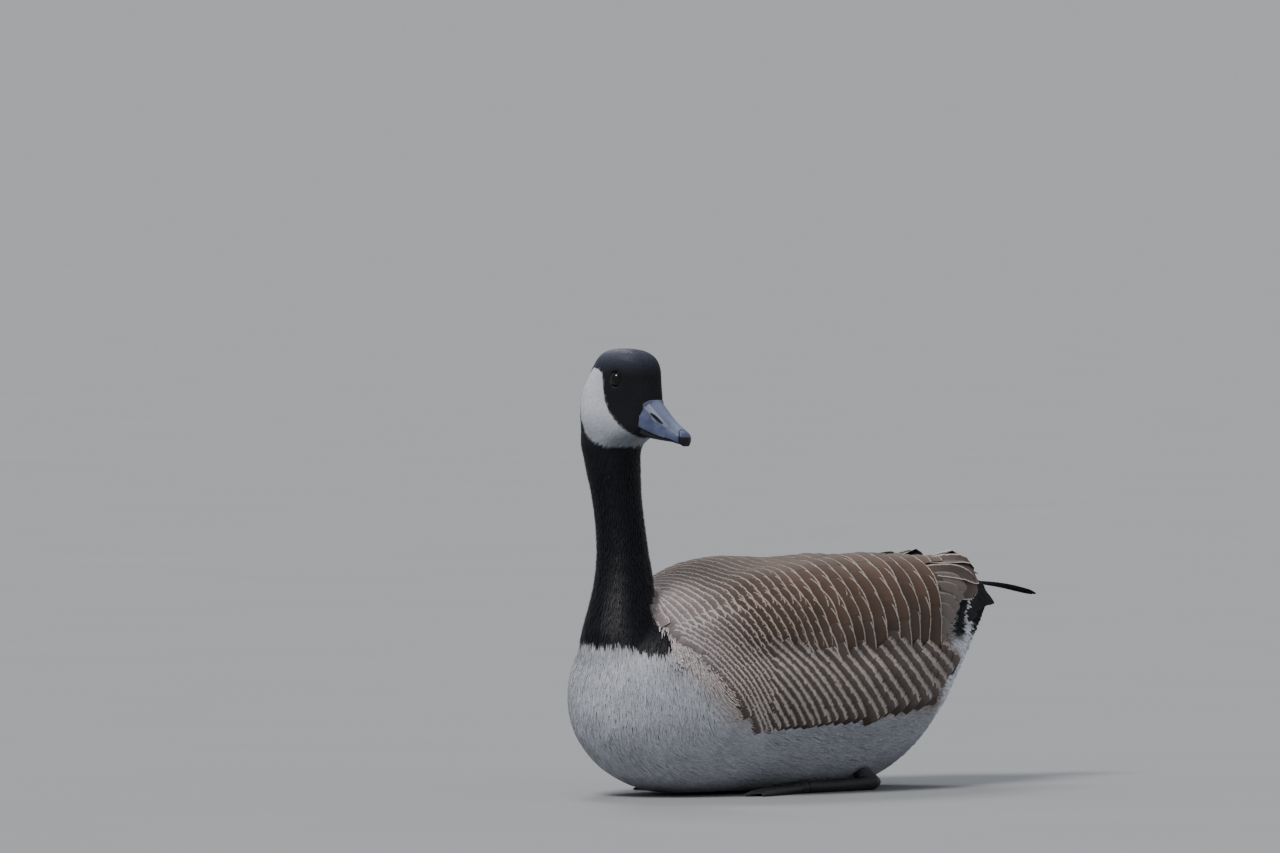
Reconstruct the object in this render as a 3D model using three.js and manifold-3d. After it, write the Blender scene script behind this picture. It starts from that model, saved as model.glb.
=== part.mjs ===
// A Canada goose at rest, as a still, life-size model that sits on its belly with its feet tucked under.
// Millimetres. +Z is up, the breast points to -Y and +X is the bird's left. The origin is the middle of the flat
// under the belly. The neck stands up from the breast and the head looks out over the bird's left side.
import * as THREE from "three";
import Module from "manifold-3d";

const wasm = await Module();
wasm.setup();

// Driving dimensions
const TOUCHING_GAP = 0.3;
const BREAST_FRONT = -197;
const RUMP_END = 268;
const TAIL_TIP = 349;
const NECK_ROOT_LEVEL = 58;
const NECK_CUT_LEVEL = 214;
const HEAD_CUT_LEVEL = 305;
const NECK_TOP = { y: -165, radius: 27.5 };
const BILL_REACH = 55.5;
const BILL_LEVEL = 351;
const BILL_PITCH = THREE.MathUtils.degToRad(15);
const EYE_RADIUS = 6.4;
const EYE = { forward: -27.5, aside: 17.8, up: 14.8 };
const VANE_THICKNESS = 0.8;
const SIDES = { left: 1, right: -1 };

// The body without its wings, at stations from the breast to the tail: half width, top, widest level, underside
const BODY_STATIONS = [
  { y: BREAST_FRONT, half: 2, top: 88, wide: 85, low: 82 },
  { y: -192, half: 26, top: 112, wide: 86, low: 62 },
  { y: -178, half: 47, top: 134, wide: 88, low: 38 },
  { y: -150, half: 67, top: 160, wide: 92, low: 14 },
  { y: -100, half: 86, top: 186, wide: 98, low: -3 },
  { y: -40, half: 92, top: 199, wide: 102, low: -7 },
  { y: 40, half: 92, top: 201, wide: 106, low: -7 },
  { y: 110, half: 84, top: 201, wide: 112, low: -2 },
  { y: 160, half: 72, top: 199, wide: 122, low: 18 },
  { y: 200, half: 58, top: 196, wide: 137, low: 51 },
  { y: 240, half: 40, top: 190, wide: 156, low: 103 },
  { y: 275, half: 27, top: 183, wide: 170, low: 148 },
  { y: TAIL_TIP, half: 24, top: 168, wide: 163, low: 156 },
];
const BODY_FULLNESS = 2.25;

// The neck, at levels from inside the body to the head: fore-and-aft place, half width across, half width along
const NECK_STATIONS = [
  { z: NECK_ROOT_LEVEL, y: -124, across: 58, along: 54 },
  { z: 100, y: -138, across: 52, along: 50 },
  { z: 126, y: -147, across: 45, along: 44 },
  { z: 142, y: -151, across: 39, along: 39 },
  { z: 158, y: -152, across: 33.5, along: 34 },
  { z: 191, y: -150, across: 27, along: 28 },
  { z: 223, y: -152.5, across: 24, along: 24.5 },
  { z: 256, y: -157.5, across: 23.4, along: 23.8 },
  { z: 289, y: -163, across: 26.2, along: 26.6 },
  { z: HEAD_CUT_LEVEL, y: NECK_TOP.y, across: NECK_TOP.radius, along: NECK_TOP.radius },
];

/** A smooth line through pairs of numbers that never swings past them. */
function lineThrough(xs, ys) {
  const slopes = xs.slice(1).map((x, i) => (ys[i + 1] - ys[i]) / (x - xs[i]));
  const tangents = xs.map((_, i) => {
    const before = slopes[Math.max(0, i - 1)];
    const after = slopes[Math.min(slopes.length - 1, i)];
    return before * after <= 0 ? 0 : (2 * before * after) / (before + after);
  });
  return (x) => {
    let i = xs.findIndex((edge) => x < edge) - 1;
    if (i === -2) i = xs.length - 2;
    i = Math.max(0, i);
    const span = xs[i + 1] - xs[i];
    const t = THREE.MathUtils.clamp((x - xs[i]) / span, 0, 1);
    const rise = (1 + 2 * t) * (1 - t) ** 2 * ys[i] + t * t * (3 - 2 * t) * ys[i + 1];
    return rise + span * t * (1 - t) * ((1 - t) * tangents[i] - t * tangents[i + 1]);
  };
}

/** One column of a table of stations as a smooth line over another column. */
function column(stations, over, name) {
  return lineThrough(
    stations.map((s) => s[over]),
    stations.map((s) => s[name]),
  );
}

const bodyHalf = column(BODY_STATIONS, "y", "half");
const bodyTop = column(BODY_STATIONS, "y", "top");
const bodyWide = column(BODY_STATIONS, "y", "wide");
const bodyLow = column(BODY_STATIONS, "y", "low");
const neckPlace = column(NECK_STATIONS, "z", "y");
const neckAcross = column(NECK_STATIONS, "z", "across");
const neckAlong = column(NECK_STATIONS, "z", "along");

const mix = THREE.MathUtils.lerp;
const degrees = THREE.MathUtils.degToRad;
const steps = (count) => Array.from({ length: count + 1 }, (_, i) => i / count);
const power = (value, exponent) => Math.sign(value) * Math.abs(value) ** exponent;

/** A repeatable run of numbers from 0 to 1. */
function drawer(seed) {
  let state = seed;
  return () => {
    state = (state * 1664525 + 1013904223) % 4294967296;
    return state / 4294967296;
  };
}

/** A point over the body's surface: the angle runs from the back, 0, over the bird's left side, to the belly. */
function bodyPoint(y, angle, lift = 0) {
  const half = bodyHalf(y);
  const wide = bodyWide(y);
  const side = power(Math.sin(angle), 2 / BODY_FULLNESS);
  const up = power(Math.cos(angle), 2 / BODY_FULLNESS);
  const height = up > 0 ? bodyTop(y) - wide : wide - bodyLow(y);
  const outward = new THREE.Vector2(side / half, up / height).normalize();
  return new THREE.Vector3(half * side + outward.x * lift, y, wide + height * up + outward.y * lift);
}

/** A solid from points and triangles, turned to face outwards. */
function solidOf(points, triangles) {
  const build = (faces) =>
    new wasm.Manifold(
      new wasm.Mesh({
        numProp: 3,
        vertProperties: new Float32Array(points.flatMap((p) => [p.x, p.y, p.z])),
        triVerts: new Uint32Array(faces.flat()),
      }),
    );
  const made = build(triangles);
  return made.volume() > 0 ? made : build(triangles.map(([a, b, c]) => [a, c, b]));
}

/** A solid skin over rings of points, closed at both ends. */
function loft(rings) {
  const around = rings[0].length;
  const points = rings.flat();
  const triangles = [];
  for (let r = 0; r + 1 < rings.length; r++)
    for (let i = 0; i < around; i++) {
      const a = r * around + i;
      const b = r * around + ((i + 1) % around);
      triangles.push([a, b, b + around], [a, b + around, a + around]);
    }
  for (const [ring, turn] of [
    [0, 1],
    [rings.length - 1, 0],
  ]) {
    const middle = new THREE.Vector3();
    rings[ring].forEach((p) => middle.addScaledVector(p, 1 / around));
    points.push(middle);
    for (let i = 0; i < around; i++) {
      const a = ring * around + i;
      const b = ring * around + ((i + 1) % around);
      triangles.push(turn ? [b, a, points.length - 1] : [a, b, points.length - 1]);
    }
  }
  return solidOf(points, triangles);
}

/** A thin closed solid between two faces that are split into triangles alike. across runs -1 to 1, along 0 to 1. */
function sheet(across, along, upper, lower) {
  const points = [];
  for (const face of [upper, lower])
    for (const u of steps(across)) for (const v of steps(along)) points.push(face(2 * u - 1, v));
  const at = (face, i, j) => (face * (across + 1) + i) * (along + 1) + j;
  const triangles = [];
  const wall = (a, b, c, d) => triangles.push([a, b, c], [a, c, d]);
  for (let i = 0; i < across; i++)
    for (let j = 0; j < along; j++) {
      wall(at(0, i, j), at(0, i + 1, j), at(0, i + 1, j + 1), at(0, i, j + 1));
      const [a, b, c, d] = [at(1, i, j), at(1, i + 1, j), at(1, i + 1, j + 1), at(1, i, j + 1)];
      triangles.push([a, c, b], [a, d, c]);
    }
  for (let i = 0; i < across; i++) {
    wall(at(0, i + 1, 0), at(0, i, 0), at(1, i, 0), at(1, i + 1, 0));
    wall(at(0, i, along), at(0, i + 1, along), at(1, i + 1, along), at(1, i, along));
  }
  for (let j = 0; j < along; j++) {
    wall(at(0, 0, j), at(0, 0, j + 1), at(1, 0, j + 1), at(1, 0, j));
    wall(at(0, across, j + 1), at(0, across, j), at(1, across, j), at(1, across, j + 1));
  }
  return solidOf(points, triangles);
}

/** A three.js geometry as a solid. */
function solidFrom(geometry, matrix = new THREE.Matrix4()) {
  const place = geometry.getAttribute("position");
  const index = geometry.getIndex();
  const known = new Map();
  const points = [];
  const merged = Array.from({ length: place.count }, (_, i) => {
    const p = new THREE.Vector3().fromBufferAttribute(place, i).applyMatrix4(matrix);
    const key = p.toArray().map((n) => n.toFixed(3)).join();
    if (!known.has(key)) known.set(key, points.push(p) - 1);
    return known.get(key);
  });
  const corners = index ? Array.from(index.array, (i) => merged[i]) : merged;
  const triangles = [];
  for (let i = 0; i < corners.length; i += 3) {
    const [a, b, c] = corners.slice(i, i + 3);
    if (a !== b && b !== c && a !== c) triangles.push([a, b, c]);
  }
  return solidOf(points, triangles);
}

/** Solids joined into one, less the cutters, with only the largest closed surface kept. */
function fuse(solids, cutters = []) {
  const joined = solids.reduce((all, one) => all.add(one));
  const cut = cutters.reduce((all, one) => all.subtract(one), joined);
  const bodies = cut.simplify(0.04).decompose();
  return bodies.reduce((best, one) => (one.volume() > best.volume() ? one : best));
}

// Torso

const BODY_RINGS = 20;
const BODY_SEGMENTS = 28;

/** The body's loft, out to the rump, raised all over by the same amount. */
function bodySolid(lift, flat) {
  const rings = steps(BODY_RINGS).map((t) => {
    const y = mix(BREAST_FRONT, RUMP_END, (1 - Math.cos(Math.PI * t)) / 2);
    return steps(BODY_SEGMENTS)
      .slice(1)
      .map((turn) => {
        const p = bodyPoint(y, turn * 2 * Math.PI, lift);
        p.z = Math.max(p.z, flat);
        if (t === 0) p.y -= lift;
        if (t === 1) p.y += lift;
        return p;
      });
  });
  return loft(rings);
}

const torso = bodySolid(0, 0);
const torsoClear = bodySolid(TOUCHING_GAP, -TOUCHING_GAP);

// Neck

const NECK_SEGMENTS = 24;

/** The outline of the neck at one level. */
function neckRing(z) {
  return steps(NECK_SEGMENTS)
    .slice(1)
    .map((turn) => {
      const angle = turn * 2 * Math.PI;
      const x = neckAcross(z) * Math.sin(angle);
      return new THREE.Vector3(x, neckPlace(z) - neckAlong(z) * Math.cos(angle), z);
    });
}

/** A length of the neck between two levels. */
function neckLength(from, to, rings) {
  return loft(steps(rings).map((t) => neckRing(mix(from, to, t))));
}

const neckLower = fuse(
  [neckLength(NECK_ROOT_LEVEL, NECK_CUT_LEVEL - TOUCHING_GAP / 2, 9)],
  [torsoClear],
);
const neckUpper = neckLength(
  NECK_CUT_LEVEL + TOUCHING_GAP / 2,
  HEAD_CUT_LEVEL - TOUCHING_GAP / 2,
  5,
);

// Head. It is a stack of level rings, measured forward of the bill's base and above it, and turned on the neck.

const HEAD_FLOOR = HEAD_CUT_LEVEL + TOUCHING_GAP / 2 - BILL_LEVEL;
const HEAD_LEVELS = [
  { up: HEAD_FLOOR, back: -BILL_REACH - NECK_TOP.radius, front: NECK_TOP.radius - BILL_REACH, half: 27.5, taper: 0 },
  { up: -40, back: -84, front: -20, half: 27.8, taper: 0.12 },
  { up: -35, back: -85, front: -6, half: 28.2, taper: 0.34 },
  { up: -29, back: -86, front: 4, half: 28.4, taper: 0.42 },
  { up: -16, back: -87, front: 5, half: 28.6, taper: 0.4 },
  { up: -5, back: -86, front: 4.5, half: 28.2, taper: 0.36 },
  { up: 4, back: -83, front: 2.5, half: 27.6, taper: 0.29 },
  { up: 12, back: -79, front: 0.5, half: 26.6, taper: 0.22 },
  { up: 20, back: -74, front: -0.5, half: 25.6, taper: 0.15 },
  { up: 28, back: -69, front: -3, half: 23.4, taper: 0.1 },
  { up: 34, back: -65, front: -7, half: 20, taper: 0.06 },
  { up: 38.5, back: -60, front: -14, half: 14.5, taper: 0.04 },
  { up: 41, back: -51, front: -23, half: 8.5, taper: 0 },
  { up: 41.8, back: -42, front: -32, half: 2.5, taper: 0 },
];
const HEAD_RINGS = 17;
const HEAD_SEGMENTS = 24;
const FACE_FULLNESS = 2.7;
const NAPE_FULLNESS = 2.1;

const profile = (pairs) => new THREE.SplineCurve(pairs.map(([a, b]) => new THREE.Vector2(a, b)));
const evenly = (values) => lineThrough(steps(values.length - 1), values);
const headUp = evenly(HEAD_LEVELS.map((level) => level.up));
const headColumn = (name) => evenly(HEAD_LEVELS.map((level) => level[name]));
const headBack = headColumn("back");
const headFront = headColumn("front");
const headHalf = headColumn("half");
const headTaper = headColumn("taper");

/** A point of the head: forward of the bill's base, to the head's left, and up. */
const headPlace = (forward, aside, up) =>
  new THREE.Vector3(BILL_REACH + forward, NECK_TOP.y + aside, BILL_LEVEL + up);

/** A point of the bill's own frame, which points down its length. */
function billPlace(forward, aside, up) {
  const lean = new THREE.Vector2(forward, up).rotateAround(new THREE.Vector2(), -BILL_PITCH);
  return headPlace(lean.x, aside, lean.y);
}

/** One level ring of the head: fuller in the face than at the nape, and narrower towards the bill. */
function headRing(t, lift = 0) {
  const middle = (headFront(t) + headBack(t)) / 2;
  const long = (headFront(t) - headBack(t)) / 2 + lift;
  return steps(HEAD_SEGMENTS)
    .slice(1)
    .map((turn) => {
      const angle = turn * 2 * Math.PI;
      const ahead = Math.cos(angle);
      const fullness = ahead > 0 ? mix(2, FACE_FULLNESS, Math.min(1, t * 4)) : NAPE_FULLNESS;
      const narrowed = 1 - headTaper(t) * ((1 + ahead) / 2) ** 1.5;
      const aside = (headHalf(t) * narrowed + lift) * power(Math.sin(angle), 2 / fullness);
      return headPlace(middle + long * power(ahead, 2 / fullness), aside, headUp(t) + lift * (2 * t - 1));
    });
}

const headSolid = (lift) => loft(steps(HEAD_RINGS).map((t) => headRing(t, lift)));

/** The ring of the lids, which stands round the eye and looks a little forward. */
function lidRing(side) {
  const ring = new THREE.TorusGeometry(5.9, 1.6, 7, 18).rotateX(degrees(90)).rotateZ(degrees(-12 * side));
  const middle = headPlace(EYE.forward + 0.8, side * (EYE.aside + 3.2), EYE.up);
  return solidFrom(ring, new THREE.Matrix4().setPosition(middle));
}

/** A ball for the eye, or for the socket when it is given clearance. */
function eyeBall(side, clearance) {
  const ball = new THREE.SphereGeometry(EYE_RADIUS + clearance, 14, 8);
  const middle = headPlace(EYE.forward, side * EYE.aside, EYE.up);
  return solidFrom(ball, new THREE.Matrix4().setPosition(middle));
}

const headClear = headSolid(TOUCHING_GAP);
const head = fuse(
  [headSolid(0), ...Object.values(SIDES).map(lidRing)],
  Object.values(SIDES).map((side) => eyeBall(side, TOUCHING_GAP)),
);

// Bill, in its own frame: forward along its length, and up. The maxilla closes on the mandible along the mouth line.

const CULMEN = profile([
  [-14, 4],
  [0, 0],
  [14, -7.4],
  [28, -13.8],
  [41, -17.8],
  [48.5, -20],
  [53, -25],
]);
const MOUTH_LINE = profile([
  [-16, -25],
  [0, -26.5],
  [13, -28],
  [26, -28.8],
  [38, -27.6],
  [45, -28.4],
  [50.5, -31.2],
]);
const JAW_LINE = profile([
  [-16, -34],
  [0, -35.6],
  [13, -35],
  [26, -33],
  [38, -30.8],
  [43, -30.6],
  [46, -30.4],
]);
const BILL_HALF_WIDTHS = evenly([16, 15.2, 13.4, 11.6, 10.2, 8.6, 3.4]);
const BILL_RINGS = 11;

/** A ring between a lower and an upper line: a flat or bowed floor under a rounded roof. */
function billRing(floor, roof, half, rise) {
  const arch = steps(10).map((f) => {
    const angle = Math.PI * f;
    const up = power(Math.sin(angle), rise);
    const middle = new THREE.Vector2().lerpVectors(floor, roof, up);
    return billPlace(middle.x, half * Math.cos(angle), middle.y);
  });
  const base = [-0.5, 0, 0.5].map((f) => billPlace(floor.x, half * f, floor.y));
  return [...arch, ...base];
}

const maxillaWhole = loft(
  steps(BILL_RINGS).map((t) =>
    billRing(MOUTH_LINE.getPoint(t), CULMEN.getPoint(t), BILL_HALF_WIDTHS(t), 0.8),
  ),
);
const mandibleWhole = loft(
  steps(BILL_RINGS).map((t) => {
    const roof = MOUTH_LINE.getPoint(t * 0.91);
    roof.y -= TOUCHING_GAP + 0.15;
    return billRing(roof, JAW_LINE.getPoint(t), BILL_HALF_WIDTHS(t * 0.95) - 1.2, 0.55);
  }),
);

/** A ball pressed over the tip of the bill, which shapes the nail. */
function nailBall(clearance) {
  const ball = new THREE.SphereGeometry(1, 16, 8);
  const size = new THREE.Vector3(12.5, 7.4, 12).addScalar(clearance);
  const middle = billPlace(52, 0, -25);
  const lean = new THREE.Quaternion().setFromAxisAngle(new THREE.Vector3(0, 1, 0), BILL_PITCH);
  return solidFrom(ball, new THREE.Matrix4().compose(middle, lean, size));
}

/** A slot along the side of the maxilla, as the nostril. */
function nostril(side) {
  const ball = new THREE.SphereGeometry(1, 8, 6);
  const middle = billPlace(16.5, side * 12, -14.6);
  const lean = new THREE.Quaternion().setFromEuler(new THREE.Euler(0, BILL_PITCH + 0.4, side * -0.14, "ZYX"));
  return solidFrom(ball, new THREE.Matrix4().compose(middle, lean, new THREE.Vector3(5.6, 3.2, 1.9)));
}

const maxilla = fuse(
  [maxillaWhole],
  [headClear, nailBall(TOUCHING_GAP), ...Object.values(SIDES).map(nostril)],
);
const nail = fuse([maxillaWhole.intersect(nailBall(0))]);
const mandible = fuse([mandibleWhole], [headClear]);

// Feathers

const ROOT_SHARE = 1 / 3;

/** The height of a vane over what it grows from: sunk at the root, clear of it from the first third to the tip. */
function slope(v, root, bend, tip) {
  if (v < ROOT_SHARE) return mix(root, bend, v / ROOT_SHARE);
  return mix(bend, tip, (v - ROOT_SHARE) / (1 - ROOT_SHARE));
}

/**
 * A vane that lies over the body: it starts at one place on the surface and runs back along it, leaning towards the
 * belly by the angle given. lift gives its height over the body at each share of its length.
 */
function vane({ y, angle, side, length, width, lean, lift, tilt = 0.8, narrow = 0.5, thick = VANE_THICKNESS }) {
  const ring = (bodyHalf(y) + bodyTop(y) - bodyWide(y)) / 2;
  const spread = (v) => {
    const grown = mix(narrow, 1, Math.min(1, v / 0.55));
    return (v > 0.7 ? grown * Math.sqrt(1 - ((v - 0.7) / 0.36) ** 2) : grown) * (width / 2);
  };
  const face = (drop) => (u, v) => {
    const ahead = length * (v - (v > 0.9 ? 0.05 * u * u : 0));
    const across = spread(v) * u;
    const back = y + ahead * Math.cos(lean) - across * Math.sin(lean);
    const round = (ahead * Math.sin(lean) + across * Math.cos(lean)) / ring;
    const height = lift(v, back, angle + round) + tilt * u - 0.7 * u * u - drop;
    const p = bodyPoint(back, angle + round, height);
    p.x *= side;
    return p;
  };
  return sheet(1, 3, face(0), face(thick));
}

// Wings. Each is a closed pad over the side of the back, and carries its feathers in rows from the shoulder back.

const WING_FRONT = -118;
const WING_REAR = 244;
const WING_PAD = 16;
const wingUpperEdge = evenly([34, 19, 14, 11, 8, 5].map(degrees));
const wingLowerEdge = evenly([60, 77, 82, 83, 83, 78].map(degrees));
const wingPadShare = evenly([0.1, 0.7, 0.8, 0.9, 1, 0.8]);

/** How far the wing's pad stands over the body at a place. */
function wingLift(y, angle) {
  const s = THREE.MathUtils.clamp((y - WING_FRONT) / (WING_REAR - WING_FRONT), 0, 1);
  const q = (angle - wingUpperEdge(s)) / (wingLowerEdge(s) - wingUpperEdge(s));
  const arch = Math.sin(Math.PI * THREE.MathUtils.clamp(q, 0, 1));
  return 1.2 + WING_PAD * wingPadShare(s) * arch ** 0.6;
}

/** The pad of one wing, from a little under the body's surface to its own. */
function wingPad(side) {
  const face = (top) => (u, v) => {
    const y = mix(WING_FRONT, WING_REAR, v);
    const angle = mix(wingUpperEdge(v), wingLowerEdge(v), (u + 1) / 2);
    const p = bodyPoint(y, angle, top ? wingLift(y, angle) : -2);
    p.x *= side;
    return p;
  };
  return sheet(6, 10, face(true), face(false));
}

const COVERT_ROWS = [
  { y: -104, count: 4, length: 80, width: 29 },
  { y: -44, count: 5, length: 88, width: 30 },
  { y: 24, count: 5, length: 98, width: 31 },
];

/** The rows of scapulars and coverts, each tip over the roots of the next row. */
function coverts(side, draw) {
  return COVERT_ROWS.flatMap((row, r) => {
    const s = (row.y - WING_FRONT) / (WING_REAR - WING_FRONT);
    return Array.from({ length: row.count }, (_, k) => {
      const q = (k + 0.5 + (r % 2 ? 0.18 : -0.18)) / row.count;
      return vane({
        y: row.y + 4 * draw(),
        angle: mix(wingUpperEdge(s), wingLowerEdge(s), q),
        side,
        length: row.length * (0.96 + 0.08 * draw()),
        width: row.width,
        lean: degrees(mix(-3, 12, q)),
        lift: (v, y, angle) => wingLift(y, angle) + slope(v, -3, 1.4, 4.2),
      });
    });
  });
}

/** The long inner feathers that close the wing over the back. */
function tertials(side, draw) {
  return Array.from({ length: 4 }, (_, k) =>
    vane({
      y: 118 - 6 * k,
      angle: degrees(24 + 11 * k),
      side,
      length: 140 - 6 * k + 4 * draw(),
      width: 31,
      lean: degrees(-0.6 - 2 * k),
      lift: (v, y, angle) => wingLift(y, angle) + slope(v, -3, 2.4, 4.4),
    }),
  );
}

/** The secondaries, whose tips make the wing's trailing edge behind the flank. */
function secondaries(side, draw) {
  return Array.from({ length: 4 }, (_, k) =>
    vane({
      y: 104 + 2 * k,
      angle: degrees(60 + 9 * k),
      side,
      length: 112 - 7 * k + 3 * draw(),
      width: 27,
      lean: degrees(1 + 2 * k),
      lift: (v, y, angle) => wingLift(y, angle) + slope(v, -3.4, 1.2, 2.6),
    }),
  );
}

/** The primaries, folded under the rest and crossing towards the tail. */
function primaries(side, draw) {
  return Array.from({ length: 5 }, (_, k) =>
    vane({
      y: 176 - 3 * k,
      angle: degrees(44 + 9 * k),
      side,
      length: 146 - 13 * k + 3 * draw(),
      width: 19,
      lean: degrees(-7 - 0.6 * k),
      lift: (v) => 5.4 - 1.1 * k + 1.4 * v,
      tilt: 0.5,
    }),
  );
}

/** One wing, folded. */
function wing(side, seed) {
  const draw = drawer(seed);
  return [
    wingPad(side),
    ...coverts(side, draw),
    ...tertials(side, draw),
    ...secondaries(side, draw),
    ...primaries(side, draw),
  ];
}

// Flanks. The long feathers of the side stand in a roll over the wing's lower edge.

const FLANK_FRONT = -96;
const FLANK_REAR = 196;
const FLANK_PAD = 9;
const flankUpperEdge = evenly([84, 79, 80, 81, 81, 82].map(degrees));
const flankLowerEdge = evenly([98, 113, 119, 120, 115, 104].map(degrees));
const flankPadShare = evenly([0.1, 0.8, 1, 1, 0.9, 0.3]);

/** How far the flank's roll stands over the body at a place. */
function flankLift(y, angle) {
  const s = THREE.MathUtils.clamp((y - FLANK_FRONT) / (FLANK_REAR - FLANK_FRONT), 0, 1);
  const q = (angle - flankUpperEdge(s)) / (flankLowerEdge(s) - flankUpperEdge(s));
  const arch = Math.sin(Math.PI * THREE.MathUtils.clamp(q, 0, 1));
  return 1.8 + FLANK_PAD * flankPadShare(s) * arch ** 0.5;
}

/** One flank: a pad and the vanes that lean down over it. grow enlarges it for cutting its neighbours clear. */
function flank(side, seed, grow = 0) {
  const draw = drawer(seed);
  const face = (top) => (u, v) => {
    const y = mix(FLANK_FRONT - grow, FLANK_REAR + grow, v);
    const s = THREE.MathUtils.clamp((y - FLANK_FRONT) / (FLANK_REAR - FLANK_FRONT), 0, 1);
    const edge = (grow * u) / bodyHalf(y);
    const angle = mix(flankUpperEdge(s), flankLowerEdge(s), (u + 1) / 2) + edge;
    const p = bodyPoint(y, angle, top ? flankLift(y, angle) + grow : -2);
    p.x *= side;
    return p;
  };
  const vanes = Array.from({ length: 8 }, (_, k) =>
    vane({
      y: FLANK_FRONT + 12 + 30 * k + 3 * draw(),
      angle: flankUpperEdge((12 + 30 * k) / (FLANK_REAR - FLANK_FRONT)) + degrees(5),
      side,
      length: (k > 5 ? 50 : 68) * (0.97 + 0.06 * draw()) + grow,
      width: 38 + 2 * grow,
      lean: degrees(38),
      lift: (v, y, angle) => flankLift(y, angle) + slope(v, -3, 1.6, 3) + grow,
      narrow: 0.7,
      thick: VANE_THICKNESS + 2 * grow,
    }),
  );
  return [sheet(4, 6, face(true), face(false)), ...vanes];
}

// Tail

const TAIL_ROOT = 250;
const TAIL_LEVEL = 176;
const RECTRICES = 12;
const TAIL_SPREAD = degrees(9);
const TAIL_ROLL = 0.14;

/** A tail feather: it fans out flat from the rump and droops at the tip. */
function rectrix(turn, level, length, width) {
  const root = new THREE.Vector3(Math.sin(turn) * 26, TAIL_ROOT, TAIL_LEVEL + level);
  const face = (drop) => (u, v) => {
    const grown = mix(0.55, 1, Math.min(1, v / 0.4)) * (v > 0.8 ? Math.sqrt(1 - ((v - 0.8) / 0.24) ** 2) : 1);
    const ahead = length * (v - (v > 0.9 ? 0.04 * u * u : 0));
    const across = grown * u * (width / 2);
    const droop = -13 * v * v * v - TAIL_ROLL * ahead * Math.sin(turn) - 0.6 * u * u;
    return new THREE.Vector3(
      root.x + ahead * Math.sin(turn) + across * Math.cos(turn),
      root.y + ahead * Math.cos(turn) - across * Math.sin(turn),
      root.z + droop - drop,
    );
  };
  return sheet(1, 4, face(0), face(VANE_THICKNESS));
}

/** The rump's end, which carries the tail. */
function tailRoot() {
  const sections = [
    { y: RUMP_END - 6, half: 26, up: 9, down: 12 },
    { y: 276, half: 24, up: 7, down: 10 },
    { y: 290, half: 17, up: 4, down: 7 },
    { y: 300, half: 7, up: 2, down: 3 },
  ];
  return loft(
    sections.map(({ y, half, up, down }) =>
      steps(20)
        .slice(1)
        .map((turn) => {
          const angle = turn * 2 * Math.PI;
          const height = Math.cos(angle) > 0 ? up : down;
          const z = TAIL_LEVEL + height * Math.cos(angle);
          return new THREE.Vector3(half * Math.sin(angle), y, z - (y - RUMP_END) * 0.06);
        }),
    ),
  );
}

/** A covert over or under the root of the tail. */
function tailCovert(turn, over) {
  const level = over ? 5.2 : -8;
  const face = (drop) => (u, v) => {
    const grown = mix(0.6, 1, Math.min(1, v / 0.5)) * (v > 0.7 ? Math.sqrt(1 - ((v - 0.7) / 0.36) ** 2) : 1);
    const ahead = (over ? 44 : 58) * v;
    const across = grown * u * 8;
    const settle = over ? -3.5 * v : 2.5 * v;
    return new THREE.Vector3(
      Math.sin(turn) * 20 + ahead * Math.sin(turn) + across,
      264 + ahead * Math.cos(turn),
      TAIL_LEVEL + level + settle - Math.abs(turn) * 10 - (over ? 1 : -1) * 0.6 * u * u - drop,
    );
  };
  return sheet(1, 3, face(0), face(VANE_THICKNESS));
}

const rectrices = Array.from({ length: RECTRICES }, (_, k) => {
  const aside = (k + 0.5) / RECTRICES - 0.5;
  const rank = Math.abs(aside) * 2;
  const level = 1.8 - rank * 5 + (aside > 0 ? 0.5 : 0);
  return rectrix(aside * 2 * TAIL_SPREAD, level, TAIL_TIP - TAIL_ROOT - 12 * rank, 17);
});
const tailCoverts = [-1.5, -0.5, 0.5, 1.5].flatMap((k) => [
  tailCovert(degrees(12 * k), true),
  tailCovert(degrees(12 * k), false),
]);
const tail = fuse([tailRoot(), ...rectrices, ...tailCoverts], [torsoClear]);

// Legs and feet, folded flat under the belly

const SHANK_ASIDE = 60;
const HEEL = new THREE.Vector3(SHANK_ASIDE, 92, 7);
const TOE_JOINT = new THREE.Vector3(SHANK_ASIDE + 2, 12, 6);
const FOOT_GAP_PLACE = 10;

/** A tapered limb through a few places, each with its half width and half height, kept on or above the floor. */
function limb(places, side, segments = 12) {
  const at = (i) => places[Math.max(0, Math.min(places.length - 1, i))].at;
  return loft(
    places.map(({ half, tall, at: middle }, i) => {
      const way = at(i + 1).clone().sub(at(i - 1)).normalize();
      const across = new THREE.Vector3(-way.y, way.x, 0).normalize();
      const up = new THREE.Vector3().crossVectors(way, across).normalize();
      return steps(segments)
        .slice(1)
        .map((turn) => {
          const angle = turn * 2 * Math.PI;
          const p = middle.clone().addScaledVector(across, half * Math.sin(angle));
          p.addScaledVector(up, tall * Math.cos(angle));
          p.z = Math.max(p.z, 0);
          p.x *= side;
          return p;
        });
    }),
  );
}

const spot = (x, y, z) => new THREE.Vector3(x, y, z);

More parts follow.
